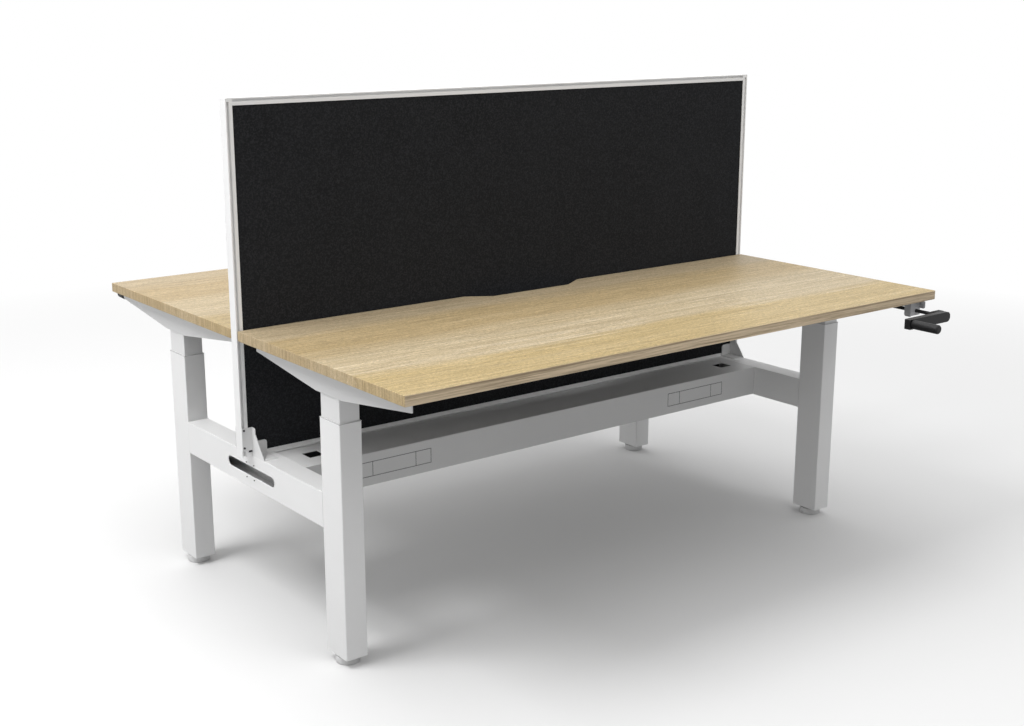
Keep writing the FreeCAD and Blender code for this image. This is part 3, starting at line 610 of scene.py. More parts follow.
@dataclass(frozen=True)
class ExtrudedAluminium(Finish):
    """A white-coated extrusion with faint lines along its run."""

    run: Run = Run.ALONG_Z
    lines: float = 700.0
    grain: float = 1400.0
    skin_share: float = 0.4
    relief: float = 0.00003
    tones: Span = Span(0.35, 0.65, 0.955, 1.0)
    uneven: float = 0.06

    def build(self) -> None:
        """Wire the coat and the extrusion's lines."""
        graph, shader, place = self.start()
        along = graph.stretch(place, self.run.value)
        drawn = graph.group(EFFECTS.drawn_lines, Vector=along, Lines=self.lines).outputs
        skin = graph.group(EFFECTS.coat_skin, Vector=place, Grain=self.grain).outputs
        coat = graph.mix(graph.spread(drawn["Tone"], self.tones), BLACK, self.colour)
        gloss = self.gloss(graph, drawn["Tone"], self.uneven, self.uneven)
        height = graph.math("ADD", drawn["Height"], graph.product(skin["Height"], self.skin_share))
        graph.surface(shader, coat, gloss, height, self.relief)


@dataclass(frozen=True)
class HandledFinish(Finish):
    """A finish that is brighter along its edges: partly wear from handling, partly a painted highlight."""

    # Partly wear, partly a painted highlight: the colour that the edges are brightened towards.
    worn_glint_colour: Colour = grey(0.1)
    worn_glint_reach: float = 0.0008
    worn_glint_share: float = 0.5
    darkest: float = 0.82
    duller: float = 0.08
    shinier: float = 0.06
    relief: float = 0.00006

    def cover(self, graph: NodeGraph, shader: bpy.types.Node, place: Socket, pattern: bpy.types.Node) -> None:
        """Feed the shader from a pattern and brighten the edges, as wear and a painted highlight.

        Args:
            graph: The material's graph.
            shader: Its shader.
            place: The place on the object.
            pattern: A group that puts out a height and a tone.
        """
        height, tone = pattern.outputs["Height"], pattern.outputs["Tone"]
        body = graph.mix(graph.vary(tone, self.darkest, 1.0), BLACK, self.colour)
        # brighter edges: partly wear, partly a painted highlight
        edges = graph.group(EFFECTS.worn_glint_edges, Vector=place, Reach=self.worn_glint_reach).outputs["Mask"]
        colour = graph.mix(graph.product(edges, self.worn_glint_share), body, self.worn_glint_colour)
        graph.surface(shader, colour, self.gloss(graph, tone, self.duller, self.shinier), height, self.relief)


@dataclass(frozen=True)
class MouldedPlastic(HandledFinish):
    """Moulded plastic with a fine spark grain and brighter edges, partly worn and partly a painted highlight.
    """

    grain: float = 1600.0
    specular: float = 0.3

    def build(self) -> None:
        """Wire the grain, the tone and the brighter edges."""
        graph, shader, place = self.start()
        shader.inputs["Specular IOR Level"].default_value = self.specular
        self.cover(graph, shader, place, graph.group(EFFECTS.coat_skin, Vector=place, Grain=self.grain))


@dataclass(frozen=True)
class DrawnSteel(HandledFinish):
    """Bare or blackened steel with lines along its run and brighter edges."""

    run: Run = Run.ALONG_Z
    lines: float = 1500.0
    worn_glint_colour: Colour = grey(0.6)
    worn_glint_reach: float = 0.0006
    worn_glint_share: float = 0.6
    darkest: float = 0.75
    duller: float = 0.1
    relief: float = 0.00003

    def build(self) -> None:
        """Wire the metal, its lines and its edges."""
        graph, shader, place = self.start()
        shader.inputs["Metallic"].default_value = 1.0
        along = graph.stretch(place, self.run.value)
        self.cover(graph, shader, place, graph.group(EFFECTS.drawn_lines, Vector=along, Lines=self.lines))


@dataclass(frozen=True)
class OakLaminate(Finish):
    """Pale oak laminate with matching edges: one wide figure along X, in bands across the top.

    Its own colour is that of the golden band, at the user's edge.
    """

    cream: Colour = paint(192, 175, 143)
    honey: Colour = paint(179, 157, 117)
    driftwood: Colour = paint(180, 163, 134)
    pale_line: Colour = paint(222, 208, 184)
    dark_grain: Colour = paint(128, 109, 74)
    edge_grey: Colour = paint(214, 194, 164)
    edge_dark: Colour = paint(132, 112, 84)
    end_light: Colour = paint(204, 182, 142)
    end_dark: Colour = paint(150, 124, 84)
    backing: Colour = paint(190, 188, 184)
    # Painted shade: the back top's colours are multiplied by this, darkening the back desk, which the lamps
    # light more.
    back_top_shade: Colour = (0.90, 0.87, 0.80)
    back_shift: float = 7.3
    spacing: float = 75.0
    edge_spacing: float = 150.0
    end_spacing: float = 230.0
    end_share: float = 0.6
    line_depth: float = 0.0035
    depth_of_top: float = 0.8
    band_sway: float = 0.045
    sway_stretch: Triple = (0.5, 2.5, 2.5)
    sway_scale: float = 2.0
    pale_shares: tuple[tuple[float, float], ...] = (
        (0.0, 0.05), (0.44, 0.15), (0.54, 0.8), (0.70, 0.9), (0.77, 0.15), (1.0, 0.2))
    dark_streaks: Span = Span(0.42, 0.68, 0.0, 0.42)
    light_streaks: Span = Span(0.5, 0.3, 0.0, 0.35)
    pale_lines: Span = Span(0.56, 0.66)
    top_fibres: Span = Span(0.35, 0.65, 0.81, 1.18)
    cut_fibres: Span = Span(0.35, 0.65, 0.86, 1.1)
    flecks: tuple[float, float] = (0.6, 1.4)
    dark_pores: Span = Span(0.56, 0.70, 0.0, 0.5)
    open_pores: Span = Span(0.56, 0.70, 1.0, 0.0)
    edge_layers: Span = Span(0.44, 0.64, 0.0, 0.8)
    edge_line: Span = Span(0.0008, 0.003, 0.75, 0.0)
    line_breaks: Span = Span(0.35, 0.55, 0.3, 1.0)
    end_stripes: Span = Span(0.40, 0.64)
    long_faces: Span = Span(0.6, 0.8)
    end_faces: Span = Span(0.75, 0.85)
    under_faces: Span = Span(-0.6, -0.8)
    duller: float = 0.08
    shinier: float = 0.05
    fibre_height: float = 0.6
    relief: float = 0.00006

    def build(self) -> None:
        """Wire the top's bands and figure, then the long edges, the ends and the backing."""
        graph, shader, place = self.start()
        x, y, z = graph.parts(place)
        low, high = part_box("back_desktop")
        behind = graph.above(y, 0.0)
        depth = graph.math("SUBTRACT", graph.product(behind, low.y + high.y), y)
        along = graph.vector(graph.math("ADD", x, graph.product(behind, self.back_shift)), depth, z)
        figure = graph.group(EFFECTS.oak_figure, Vector=along, Spacing=self.spacing).outputs
        # painted shade on the back top
        top = graph.mix(behind, self.top_colour(graph, along, depth, figure), self.back_top_shade, "MULTIPLY")
        faces_x, faces_y, faces_z = graph.parts(graph.node("ShaderNodeTexCoord").outputs["Normal"])
        is_long = graph.spread(graph.math("ABSOLUTE", faces_y), self.long_faces)
        is_end = graph.spread(graph.math("ABSOLUTE", faces_x), self.end_faces)
        colour = graph.mix(is_long, top, self.edge_colour(graph, along, z))
        colour = graph.mix(is_end, colour, self.end_colour(graph, top, depth, z))
        colour = graph.mix(graph.spread(faces_z, self.under_faces), colour, self.backing)
        gloss = self.gloss(graph, figure["Fibres"], self.duller, self.shinier)
        pores = graph.spread(figure["Pores"], self.open_pores)
        height = graph.math("ADD", pores, graph.product(figure["Fibres"], self.fibre_height))
        graph.surface(shader, colour, gloss, height, self.relief)

    def top_colour(self, graph: NodeGraph, along: Socket, depth: Socket, figure: Sockets) -> Socket:
        """Colour the top face.

        Args:
            graph: The material's graph.
            along: The place with its grain along X.
            depth: The distance from the screen's middle.
            figure: The oak figure's outputs.

        Returns:
            The top's colour.
        """
        wander = graph.noise(graph.stretch(along, self.sway_stretch), self.sway_scale, 3.0, 0.6)
        moved = graph.math("ADD", depth, graph.vary(wander, -self.band_sway, self.band_sway))
        band = graph.spread(moved, Span(0.0, self.depth_of_top))
        base = graph.tones(band, (
            (0.0, self.driftwood), (0.16, self.driftwood), (0.24, self.honey), (0.40, self.honey),
            (0.50, self.cream), (0.69, self.cream), (0.74, self.colour), (1.0, self.colour),
        ))
        streaked = graph.mix(graph.spread(figure["Streaks"], self.dark_streaks), base, self.dark_grain)
        lightened = graph.mix(graph.spread(figure["Streaks"], self.light_streaks), streaked, self.cream)
        shares = graph.tones(band, [(place, grey(share)) for place, share in self.pale_shares])
        pale = graph.product(graph.spread(figure["Lines"], self.pale_lines), shares)
        lined = graph.mix(pale, lightened, self.pale_line)
        combed = graph.mix(1.0, lined, graph.spread(figure["Fibres"], self.top_fibres), "MULTIPLY")
        flecked = graph.mix(1.0, combed, graph.vary(figure["Flecks"], *self.flecks), "MULTIPLY")
        return graph.mix(graph.spread(figure["Pores"], self.dark_pores), flecked, self.dark_grain)

    def edge_colour(self, graph: NodeGraph, along: Socket, height: Socket) -> Socket:
        """Colour the long edges, whose grain lies in layers along X, with a dark line near the top.

        Args:
            graph: The material's graph.
            along: The place with its grain along X.
            height: The height above the floor.

        Returns:
            The long edges' colour.
        """
        layer = graph.group(EFFECTS.oak_figure, Vector=along, Spacing=self.edge_spacing).outputs
        layers = graph.spread(layer["Streaks"], self.edge_layers)
        layered = graph.mix(layers, self.edge_grey, self.edge_dark)
        below_top = graph.math("SUBTRACT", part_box("front_desktop")[1].z, height)
        from_line = graph.math("ABSOLUTE", graph.math("SUBTRACT", below_top, self.line_depth))
        line = graph.product(graph.spread(from_line, self.edge_line),
                             graph.spread(layer["Lines"], self.line_breaks))
        lined = graph.mix(line, layered, self.edge_dark)
        return graph.mix(1.0, lined, graph.spread(layer["Fibres"], self.cut_fibres), "MULTIPLY")

    def end_colour(self, graph: NodeGraph, top: Socket, depth: Socket, height: Socket) -> Socket:
        """Colour the short ends, where the figure shows as upright stripes of the top's colours.

        Args:
            graph: The material's graph.
            top: The top's colour.
            depth: The distance from the screen's middle.
            height: The height above the floor.

        Returns:
            The ends' colour.
        """
        upright = graph.vector(height, depth)
        stripes = graph.group(EFFECTS.oak_figure, Vector=upright, Spacing=self.end_spacing).outputs
        striped = graph.mix(graph.spread(stripes["Streaks"], self.end_stripes), self.end_light, self.end_dark)
        colour = graph.mix(self.end_share, top, striped)
        return graph.mix(1.0, colour, graph.spread(stripes["Fibres"], self.cut_fibres), "MULTIPLY")


@dataclass(frozen=True)
class RawBoard(Finish):
    """Pressed fibre board, as cut."""

    chips: float = 260.0
    chip_span: Span = Span(0.35, 0.65)
    shade: float = 0.6
    relief: float = 0.0002

    def build(self) -> None:
        """Wire the board's chips."""
        graph, shader, place = self.start()
        chips = graph.noise(place, self.chips, 4.0, 0.7)
        dark = tuple(part * self.shade for part in self.colour)
        colour = graph.mix(graph.spread(chips, self.chip_span), dark, self.colour)
        graph.surface(shader, colour, self.roughness, chips, self.relief)


@dataclass(frozen=True)
class ScreenCloth(Finish):
    """Plain-woven screen cloth in charcoal, with a faint fleck."""

    fleck: Colour = paint(50, 51, 54)
    threads: float = 1400.0
    fleck_size: float = 260.0
    fleck_span: Span = Span(0.46, 0.62, 0.0, 0.8)
    fibre_size: float = 2200.0
    fibre_share: float = 0.5
    patch_size: float = 6.0
    patch_shade: float = 0.3
    weave_share: float = 0.35
    relief: float = 0.00012
    specular: float = 0.12
    sheen: float = 0.02
    sheen_roughness: float = 0.5

    def build(self) -> None:
        """Wire the weave, the flecks and the cloth's soft sheen."""
        graph, shader, place = self.start()
        x, _, z = graph.parts(place)
        turn = math.pi * self.threads
        warp, weft = (graph.math("SINE", graph.product(part, turn)) for part in (x, z))
        weave = graph.spread(graph.product(warp, weft), Span(-1.0, 1.0))
        fibres = graph.noise(place, self.fibre_size, 2.0, 0.6)
        flecks = graph.noise(place, self.fleck_size, 3.0, 0.75)
        patches = graph.vary(graph.noise(place, self.patch_size), 0.0, self.patch_shade)
        dark = graph.mix(patches, self.colour, BLACK)
        woven = graph.mix(graph.product(weave, self.weave_share), dark, self.fleck)
        flecked = graph.mix(graph.spread(flecks, self.fleck_span), woven, self.fleck)
        shader.inputs["Specular IOR Level"].default_value = self.specular
        shader.inputs["Sheen Weight"].default_value = self.sheen
        shader.inputs["Sheen Roughness"].default_value = self.sheen_roughness
        height = graph.math("ADD", weave, graph.product(fibres, self.fibre_share))
        graph.surface(shader, flecked, self.roughness, height, self.relief)


OAK = OakLaminate("pale_oak_laminate", paint(186, 164, 117), 0.5)
WHITE_STEEL = PowderCoat("white_powder_coat", grey(0.9), 0.42)
BEAM_WHITE = BeamCoat("white_beam_coat", grey(0.9), 0.42)
# Painted shade: the brackets, arms and inner tubes take darker copies of the same white coat, for the shade
# that falls on them.
BRACKET_SHADED_WHITE = PowderCoat("shaded_white_bracket_coat", grey(0.82), 0.42)
ARM_SHADED_WHITE = PowderCoat("shaded_white_arm_coat", grey(0.69), 0.42)
INNER_SHADED_WHITE = PowderCoat("shaded_white_inner_coat", grey(0.81), 0.42)
TRAY_STEEL = PowderCoat("tray_powder_coat", grey(0.84), 0.45)
SPINE_STEEL = SpineCoat("centre_beam_coat", grey(0.84), 0.45)
# Painted shade: the trays under the tops take a darker copy of the tray coat, with the painted shade of their
# slots and lips.
SHADED_TRAY = TrayCoat("shaded_tray_coat", grey(0.77), 0.45)
BRACKET_STEEL = PowderCoat("grey_bracket_coat", (0.42, 0.42, 0.43), 0.4, change=0.12)
POST_FRAME = ExtrudedAluminium("screen_post_white", grey(0.92), 0.34, run=Run.ALONG_Z)
RAIL_FRAME = ExtrudedAluminium("screen_rail_white", grey(0.92), 0.34, run=Run.ALONG_X)
CLOTH = ScreenCloth("charcoal_screen_cloth", paint(26, 27, 29), 0.9)
BOARD = RawBoard("screen_core_board", paint(176, 150, 112), 0.85)
CRANK_PLASTIC = MouldedPlastic("black_crank_plastic", paint(26, 26, 27), 0.46, worn_glint_colour=grey(0.05))
FOOT_PLASTIC = MouldedPlastic("white_foot_plastic", grey(0.8), 0.45, worn_glint_colour=grey(0.86))
GUIDE_PLASTIC = MouldedPlastic("grey_guide_plastic", grey(0.6), 0.6, worn_glint_colour=grey(0.64))
NUT_PLASTIC = MouldedPlastic("natural_nut_plastic", (0.66, 0.63, 0.54), 0.5, worn_glint_colour=(0.72, 0.7, 0.62))
SHAFT_STEEL = DrawnSteel("black_shaft_steel", (0.05, 0.05, 0.052), 0.4, run=Run.ALONG_Y, worn_glint_colour=grey(0.2))
ROD_STEEL = DrawnSteel("cross_rod_steel", (0.3, 0.3, 0.31), 0.34, run=Run.ALONG_X)
SCREW_STEEL = DrawnSteel("lead_screw_steel", (0.38, 0.38, 0.39), 0.3, run=Run.ALONG_Z)
FASTENER_STEEL = DrawnSteel("dark_fastener_steel", (0.07, 0.07, 0.075), 0.38, worn_glint_colour=grey(0.3))


def link(name: str, data: bpy.types.ID) -> bpy.types.Object:
    """Put a mesh, light or camera into the scene.

    Args:
        name: The object's name.
        data: What the object shows.

    Returns:
        The new object, at the origin.
    """
    made = bpy.data.objects.new(name, data)
    bpy.context.scene.collection.objects.link(made)
    return made


def coat(mesh: bpy.types.Mesh, finish: Finish) -> None:
    """Give a mesh one finish in place of those that it has."""
    mesh.materials.clear()
    mesh.materials.append(finish.material())


def dress(node: str, finish: Finish) -> None:
    """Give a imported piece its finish."""
    coat(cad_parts[node].data, finish)
    log.info("%s: %s", node, finish.name)


def outer_face(low: Vector, high: Vector) -> tuple[float, float]:
    """Return where a piece's side away from the middle lies along X, and the way that it faces."""
    return (high.x, 1.0) if high.x > 0 else (low.x, -1.0)


@contextmanager
def reshaped(mesh: bpy.types.Mesh) -> Iterator[bmesh.types.BMesh]:
    """Open a mesh for changes and write them back.

    Args:
        mesh: The mesh, which is changed.

    Yields:
        The shell that takes the changes.
    """
    shell = bmesh.new()
    shell.from_mesh(mesh)
    yield shell
    shell.to_mesh(mesh)
    shell.free()


@dataclass(frozen=True)
class SoftEdges:
    """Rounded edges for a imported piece, on a replacement made from a merged copy of its mesh."""

    radius: float
    segments: int = 2
    sharp: float = math.radians(35)
    flat: float = math.radians(0.5)
    merge: float = 0.00001

    def merge_faces(self, mesh: bpy.types.Mesh) -> None:
        """Join a mesh's loose triangles to whole faces.

        Args:
            mesh: The mesh, which is changed.
        """
        with reshaped(mesh) as shell:
            bmesh.ops.remove_doubles(shell, verts=shell.verts, dist=self.merge)
            bmesh.ops.dissolve_limit(shell, angle_limit=self.flat, verts=shell.verts, edges=shell.edges)

    def round_off(self, mesh: bpy.types.Mesh) -> None:
        """Join a mesh's faces and round its sharp outer edges.

        Args:
            mesh: The mesh, which is changed.
        """
        self.merge_faces(mesh)
        with reshaped(mesh) as shell:
            sharp = [edge for edge in shell.edges
                     if edge.is_manifold and edge.is_convex and edge.calc_face_angle() > self.sharp]
            bmesh.ops.bevel(shell, geom=sharp, offset=self.radius, offset_type="OFFSET", affect="EDGES",
                            segments=self.segments, profile=0.5, clamp_overlap=True)

    def replace(self, node: str, body: str, slot: str, finish: Finish) -> None:
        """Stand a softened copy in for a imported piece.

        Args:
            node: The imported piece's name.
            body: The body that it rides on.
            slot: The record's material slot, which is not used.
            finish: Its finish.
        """
        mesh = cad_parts[node].data.copy()
        mesh.name = f"{node}_soft"
        coat(mesh, finish)
        self.round_off(mesh)
        piece = link(f"{node}_soft", mesh)
        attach(piece, body)
        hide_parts(node)
        log.info("%s: %s, edges rounded to %.1f mm", piece.name, finish.name, 1000 * self.radius)


@dataclass(frozen=True)
class WingArm(SoftEdges):
    """A desk arm whose closed ends are cut back to the outer plate, as the photograph shows."""

    sheet: float = 0.003
    cut_back: float = 0.094

    def round_off(self, mesh: bpy.types.Mesh) -> None:
        """Cut both ends of the arm's mesh back, then round its edges.

        Args:
            mesh: The mesh, which is changed.
        """
        self.merge_faces(mesh)
        columns = list(zip(*(vertex.co for vertex in mesh.vertices)))
        low, high = (Vector([furthest(column) for column in columns]) for furthest in (min, max))
        worker = link("arm_worker", mesh)
        cutters = [self.cutter(low, high, end) for end in (-1.0, 1.0)]
        for cutter in cutters:
            notch = worker.modifiers.new(cutter.name, "BOOLEAN")
            notch.operation = "DIFFERENCE"
            notch.object = cutter
        cut = worker.evaluated_get(bpy.context.evaluated_depsgraph_get())
        cut_mesh = bpy.data.meshes.new_from_object(cut)
        for spent in (worker, *cutters):
            bpy.data.objects.remove(spent)
        shell = bmesh.new()
        shell.from_mesh(cut_mesh)
        shell.to_mesh(mesh)
        shell.free()
        bpy.data.meshes.remove(cut_mesh)
        super().round_off(mesh)

    def cutter(self, low: Vector, high: Vector, end: float) -> bpy.types.Object:
        """Make the block that is cut away at one end.

        Args:
            low: The arm's lowest corner.
            high: The arm's highest corner.
            end: -1 at the end of low Y, 1 at the other.

        Returns:
            The block, outside the part's pieces.
        """
        _, out = outer_face(low, high)
        tip = high.y if end > 0 else low.y
        xs = (low.x - out * self.sheet, high.x - out * self.sheet)
        ys = sorted((tip + end * self.sheet, tip - end * self.cut_back))
        zs = (low.z - self.sheet, high.z - self.sheet)
        mesh = bpy.data.meshes.new("arm_notch")
        with reshaped(mesh) as block:
            bmesh.ops.create_cube(block, size=1.0)
            for corner in block.verts:
                corner.co = Vector([ends[part > 0] for ends, part in zip((xs, ys, zs), corner.co)])
        return link(mesh.name, mesh)


@dataclass(frozen=True)
class ButtonScrews:
    """Button-head screws with a six-sided socket, set by Geometry Nodes at points with a facing."""

    head_radius: float = 0.0038
    head_height: float = 0.0020
    head_taper: float = 0.72
    shank_radius: float = 0.0023
    shank_length: float = 0.0022
    socket_radius: float = 0.0016
    sides: int = 24
    socket_sides: int = 6

    def sizes(self) -> dict[str, float]:
        """Return the sizes that the node tree takes, by the names of its inputs."""
        return {"Head Radius": self.head_radius, "Head Height": self.head_height,
                "Shank Radius": self.shank_radius, "Shank Length": self.shank_length,
                "Socket Radius": self.socket_radius}

    def tree(self) -> bpy.types.NodeTree:
        """Build the Geometry Nodes tree when it is first asked for.

        Returns:
            The tree, which puts a screw on each point.
        """
        if "button_screws" in bpy.data.node_groups:
            return bpy.data.node_groups["button_screws"]
        tree = bpy.data.node_groups.new("button_screws", "GeometryNodeTree")
        kinds = {"Points": "Geometry", **dict.fromkeys(self.sizes(), "Float"), "Finish": "Material"}
        for label, kind in kinds.items():
            tree.interface.new_socket(name=label, in_out="INPUT", socket_type=f"NodeSocket{kind}")
        tree.interface.new_socket(name="Screws", in_out="OUTPUT", socket_type="NodeSocketGeometry")
        graph = NodeGraph(tree)
        given = graph.node("NodeGroupInput").outputs
        head = graph.wired("GeometryNodeMeshCone", {
            "Vertices": self.sides,
            "Radius Bottom": given["Head Radius"],
            "Radius Top": graph.product(given["Head Radius"], self.head_taper),
            "Depth": given["Head Height"],
        })
        shank = graph.wired("GeometryNodeMeshCylinder", {
            "Vertices": self.sides,
            "Radius": given["Shank Radius"],
            "Depth": graph.product(given["Shank Length"], 2.0),
        })
        socket = graph.wired("GeometryNodeMeshCylinder", {
            "Vertices": self.socket_sides,
            "Radius": given["Socket Radius"],
            "Depth": given["Head Height"],
        })
        lifted = graph.wired("GeometryNodeTransform", {
            "Geometry": socket.outputs["Mesh"],
            "Translation": graph.vector(z=given["Head Height"]),
        })
        whole = graph.wired("GeometryNodeMeshBoolean", {"Mesh 2": head.outputs["Mesh"]}, operation="UNION")
        graph.feed(whole.inputs["Mesh 2"], shank.outputs["Mesh"])
        bored = graph.wired("GeometryNodeMeshBoolean", {
            "Mesh 1": whole.outputs["Mesh"],
            "Mesh 2": lifted.outputs["Geometry"],
        }, operation="DIFFERENCE")
        facing = graph.wired("GeometryNodeInputNamedAttribute", {"Name": "facing"}, data_type="FLOAT_VECTOR")
        turn = graph.wired("FunctionNodeAlignRotationToVector", {
            "Vector": facing.outputs["Attribute"],
        }, axis="Z")
        placed = graph.wired("GeometryNodeInstanceOnPoints", {
            "Points": given["Points"],
            "Instance": bored.outputs["Mesh"],
            "Rotation": turn.outputs["Rotation"],
        })
        solid = graph.wired("GeometryNodeRealizeInstances", {"Geometry": placed.outputs["Instances"]})
        finished = graph.wired("GeometryNodeSetMaterial", {
            "Geometry": solid.outputs["Geometry"],
            "Material": given["Finish"],
        })
        graph.feed(graph.node("NodeGroupOutput").inputs["Screws"], finished.outputs["Geometry"])
        return tree

    def build(self, name: str, body: str, places: Sequence[tuple[Triple, Triple]]) -> None:
        """Set screws on one body.

        Args:
            name: The name of the piece that they make.
            body: The body that they ride on.
            places: Where each head meets its plate, and the direction that it faces.
        """
        points = bpy.data.meshes.new(name)
        points.from_pydata([place for place, _ in places], [], [])
        facings = points.attributes.new("facing", "FLOAT_VECTOR", "POINT")
        facings.data.foreach_set("vector", [part for _, facing in places for part in facing])
        carrier = link(name, points)
        modifier = carrier.modifiers.new("screws", "NODES")
        modifier.node_group = self.tree()
        values = {**self.sizes(), "Finish": FASTENER_STEEL.material()}
        for item in modifier.node_group.interface.items_tree:
            if item.name in values:
                modifier[item.identifier] = values[item.name]
        seen = carrier.evaluated_get(bpy.context.evaluated_depsgraph_get())
        mesh = bpy.data.meshes.new_from_object(seen)
        carrier.modifiers.remove(modifier)
        carrier.data = mesh
        coat(mesh, FASTENER_STEEL)
        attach(carrier, body)
        log.info("%s: %d screws", name, len(places))


@dataclass
class Desk:
    """One lifting desk: its top, its two arms, the lifting tubes and the column heads."""

    half: Half
    top_edges: SoftEdges = SoftEdges(0.0010)
    arm_edges: WingArm = WingArm(0.0011)
    arm_screws: ButtonScrews = ButtonScrews(head_radius=0.005, shank_length=0.001)
    arm_screw_reach: tuple[float, ...] = (-0.29, -0.14, 0.14, 0.29)

    def build(self) -> None:
        """Dress the desk and screw its arms to the top."""
        stem = self.half.value
        self.top_edges.replace(f"{stem}_desktop", f"{stem}_desk", "top_laminate", OAK)
        for side in Side:
            self.arm_edges.replace(f"{stem}_{side.value}_arm", f"{stem}_desk", "white_steel", ARM_SHADED_WHITE)
            dress(f"{stem}_{side.value}_inner_tube", INNER_SHADED_WHITE)
            dress(f"{stem}_{side.value}_column_head", WHITE_STEEL)
        self.arm_screws.build(f"{stem}_arm_screws", f"{stem}_desk", self.screw_places())

    def screw_places(self) -> list[tuple[Triple, Triple]]:
        """Find the places of the screws inside both arms.

        Returns:
            The places, all facing down.
        """
        places = []
        for side in Side:
            low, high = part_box(f"{self.half.value}_{side.value}_arm")
            middle = (low + high) / 2
            for reach in self.arm_screw_reach:
                spot = (middle.x, middle.y + reach, high.z - self.arm_edges.sheet)
                places.append((spot, (0.0, 0.0, -1.0)))
        return places


@dataclass
class Base:
    """The standing frame: outer tubes, feet, end beams, the centre beam and the cable trays."""

    bolts: ButtonScrews = ButtonScrews(
        head_radius=0.0021, head_height=0.0006, shank_radius=0.0015, socket_radius=0.0011)
    bolt_spacing: float = 0.040
    bolt_drop: float = 0.046
    foot_edges: SoftEdges = SoftEdges(0.0024, segments=3)
    beam_edges: SoftEdges = SoftEdges(0.0012)

    def build(self) -> None:
        """Dress the frame."""
        for half in Half:
            for side in Side:
                stem = f"{half.value}_{side.value}"
                dress(f"{stem}_outer_tube", WHITE_STEEL)
                self.foot_edges.replace(f"{stem}_foot", f"{stem}_foot_set", "foot_plastic", FOOT_PLASTIC)
            dress(f"{half.value}_cable_tray", SHADED_TRAY)
        for side in Side:
            self.beam_edges.replace(f"{side.value}_end_beam", "base", "white_steel", BEAM_WHITE)
        self.bolts.build("end_beam_bolts", "base", self.bolt_places())
        dress("column_guides", GUIDE_PLASTIC)
        dress("centre_beam", SPINE_STEEL)
        dress("tray_end_plates", TRAY_STEEL)

    def bolt_places(self) -> list[tuple[Triple, Triple]]:
        """Find the places of the four bolts on each end beam's outer face, about its slot.

        Returns:
            The places, facing outwards.
        """
        places = []
        for side in Side:
            low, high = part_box(f"{side.value}_end_beam")
            face_x, out = outer_face(low, high)
            middle_z = high.z - self.bolt_drop
            for along in (-1.0, 1.0):
                for up in (-1.0, 1.0):
                    spot = (face_x, along * self.bolt_spacing / 2, middle_z + up * self.bolt_spacing / 2)
                    places.append((spot, (out, 0.0, 0.0)))
        return places


@dataclass
class Drive:
    """One desk's crank, its shaft and bracket, the cross rod and the two lead screws."""

    half: Half
    grip_edges: SoftEdges = SoftEdges(0.0014, segments=3)
    bracket_edges: SoftEdges = SoftEdges(0.0006)

    def build(self) -> None:
        """Dress the drive."""
        stem = self.half.value
        dress(f"{stem}_crank", CRANK_PLASTIC)
        self.grip_edges.replace(f"{stem}_crank_grip", f"{stem}_grip_set", "crank_plastic", CRANK_PLASTIC)
        dress(f"{stem}_crank_shaft", SHAFT_STEEL)
        dress(f"{stem}_cross_rod", ROD_STEEL)
        self.bracket_edges.replace(f"{stem}_shaft_bracket", f"{stem}_desk", "bracket_steel", BRACKET_STEEL)
        for side in Side:
            dress(f"{stem}_{side.value}_lead_screw", SCREW_STEEL)


@dataclass
class LiftNuts:
    """The nuts and the tubes that carry them inside the columns."""

    def build(self) -> None:
        """Dress the nuts and their tubes."""
        dress("nut_tubes", SCREW_STEEL)
        dress("lead_nuts", NUT_PLASTIC)


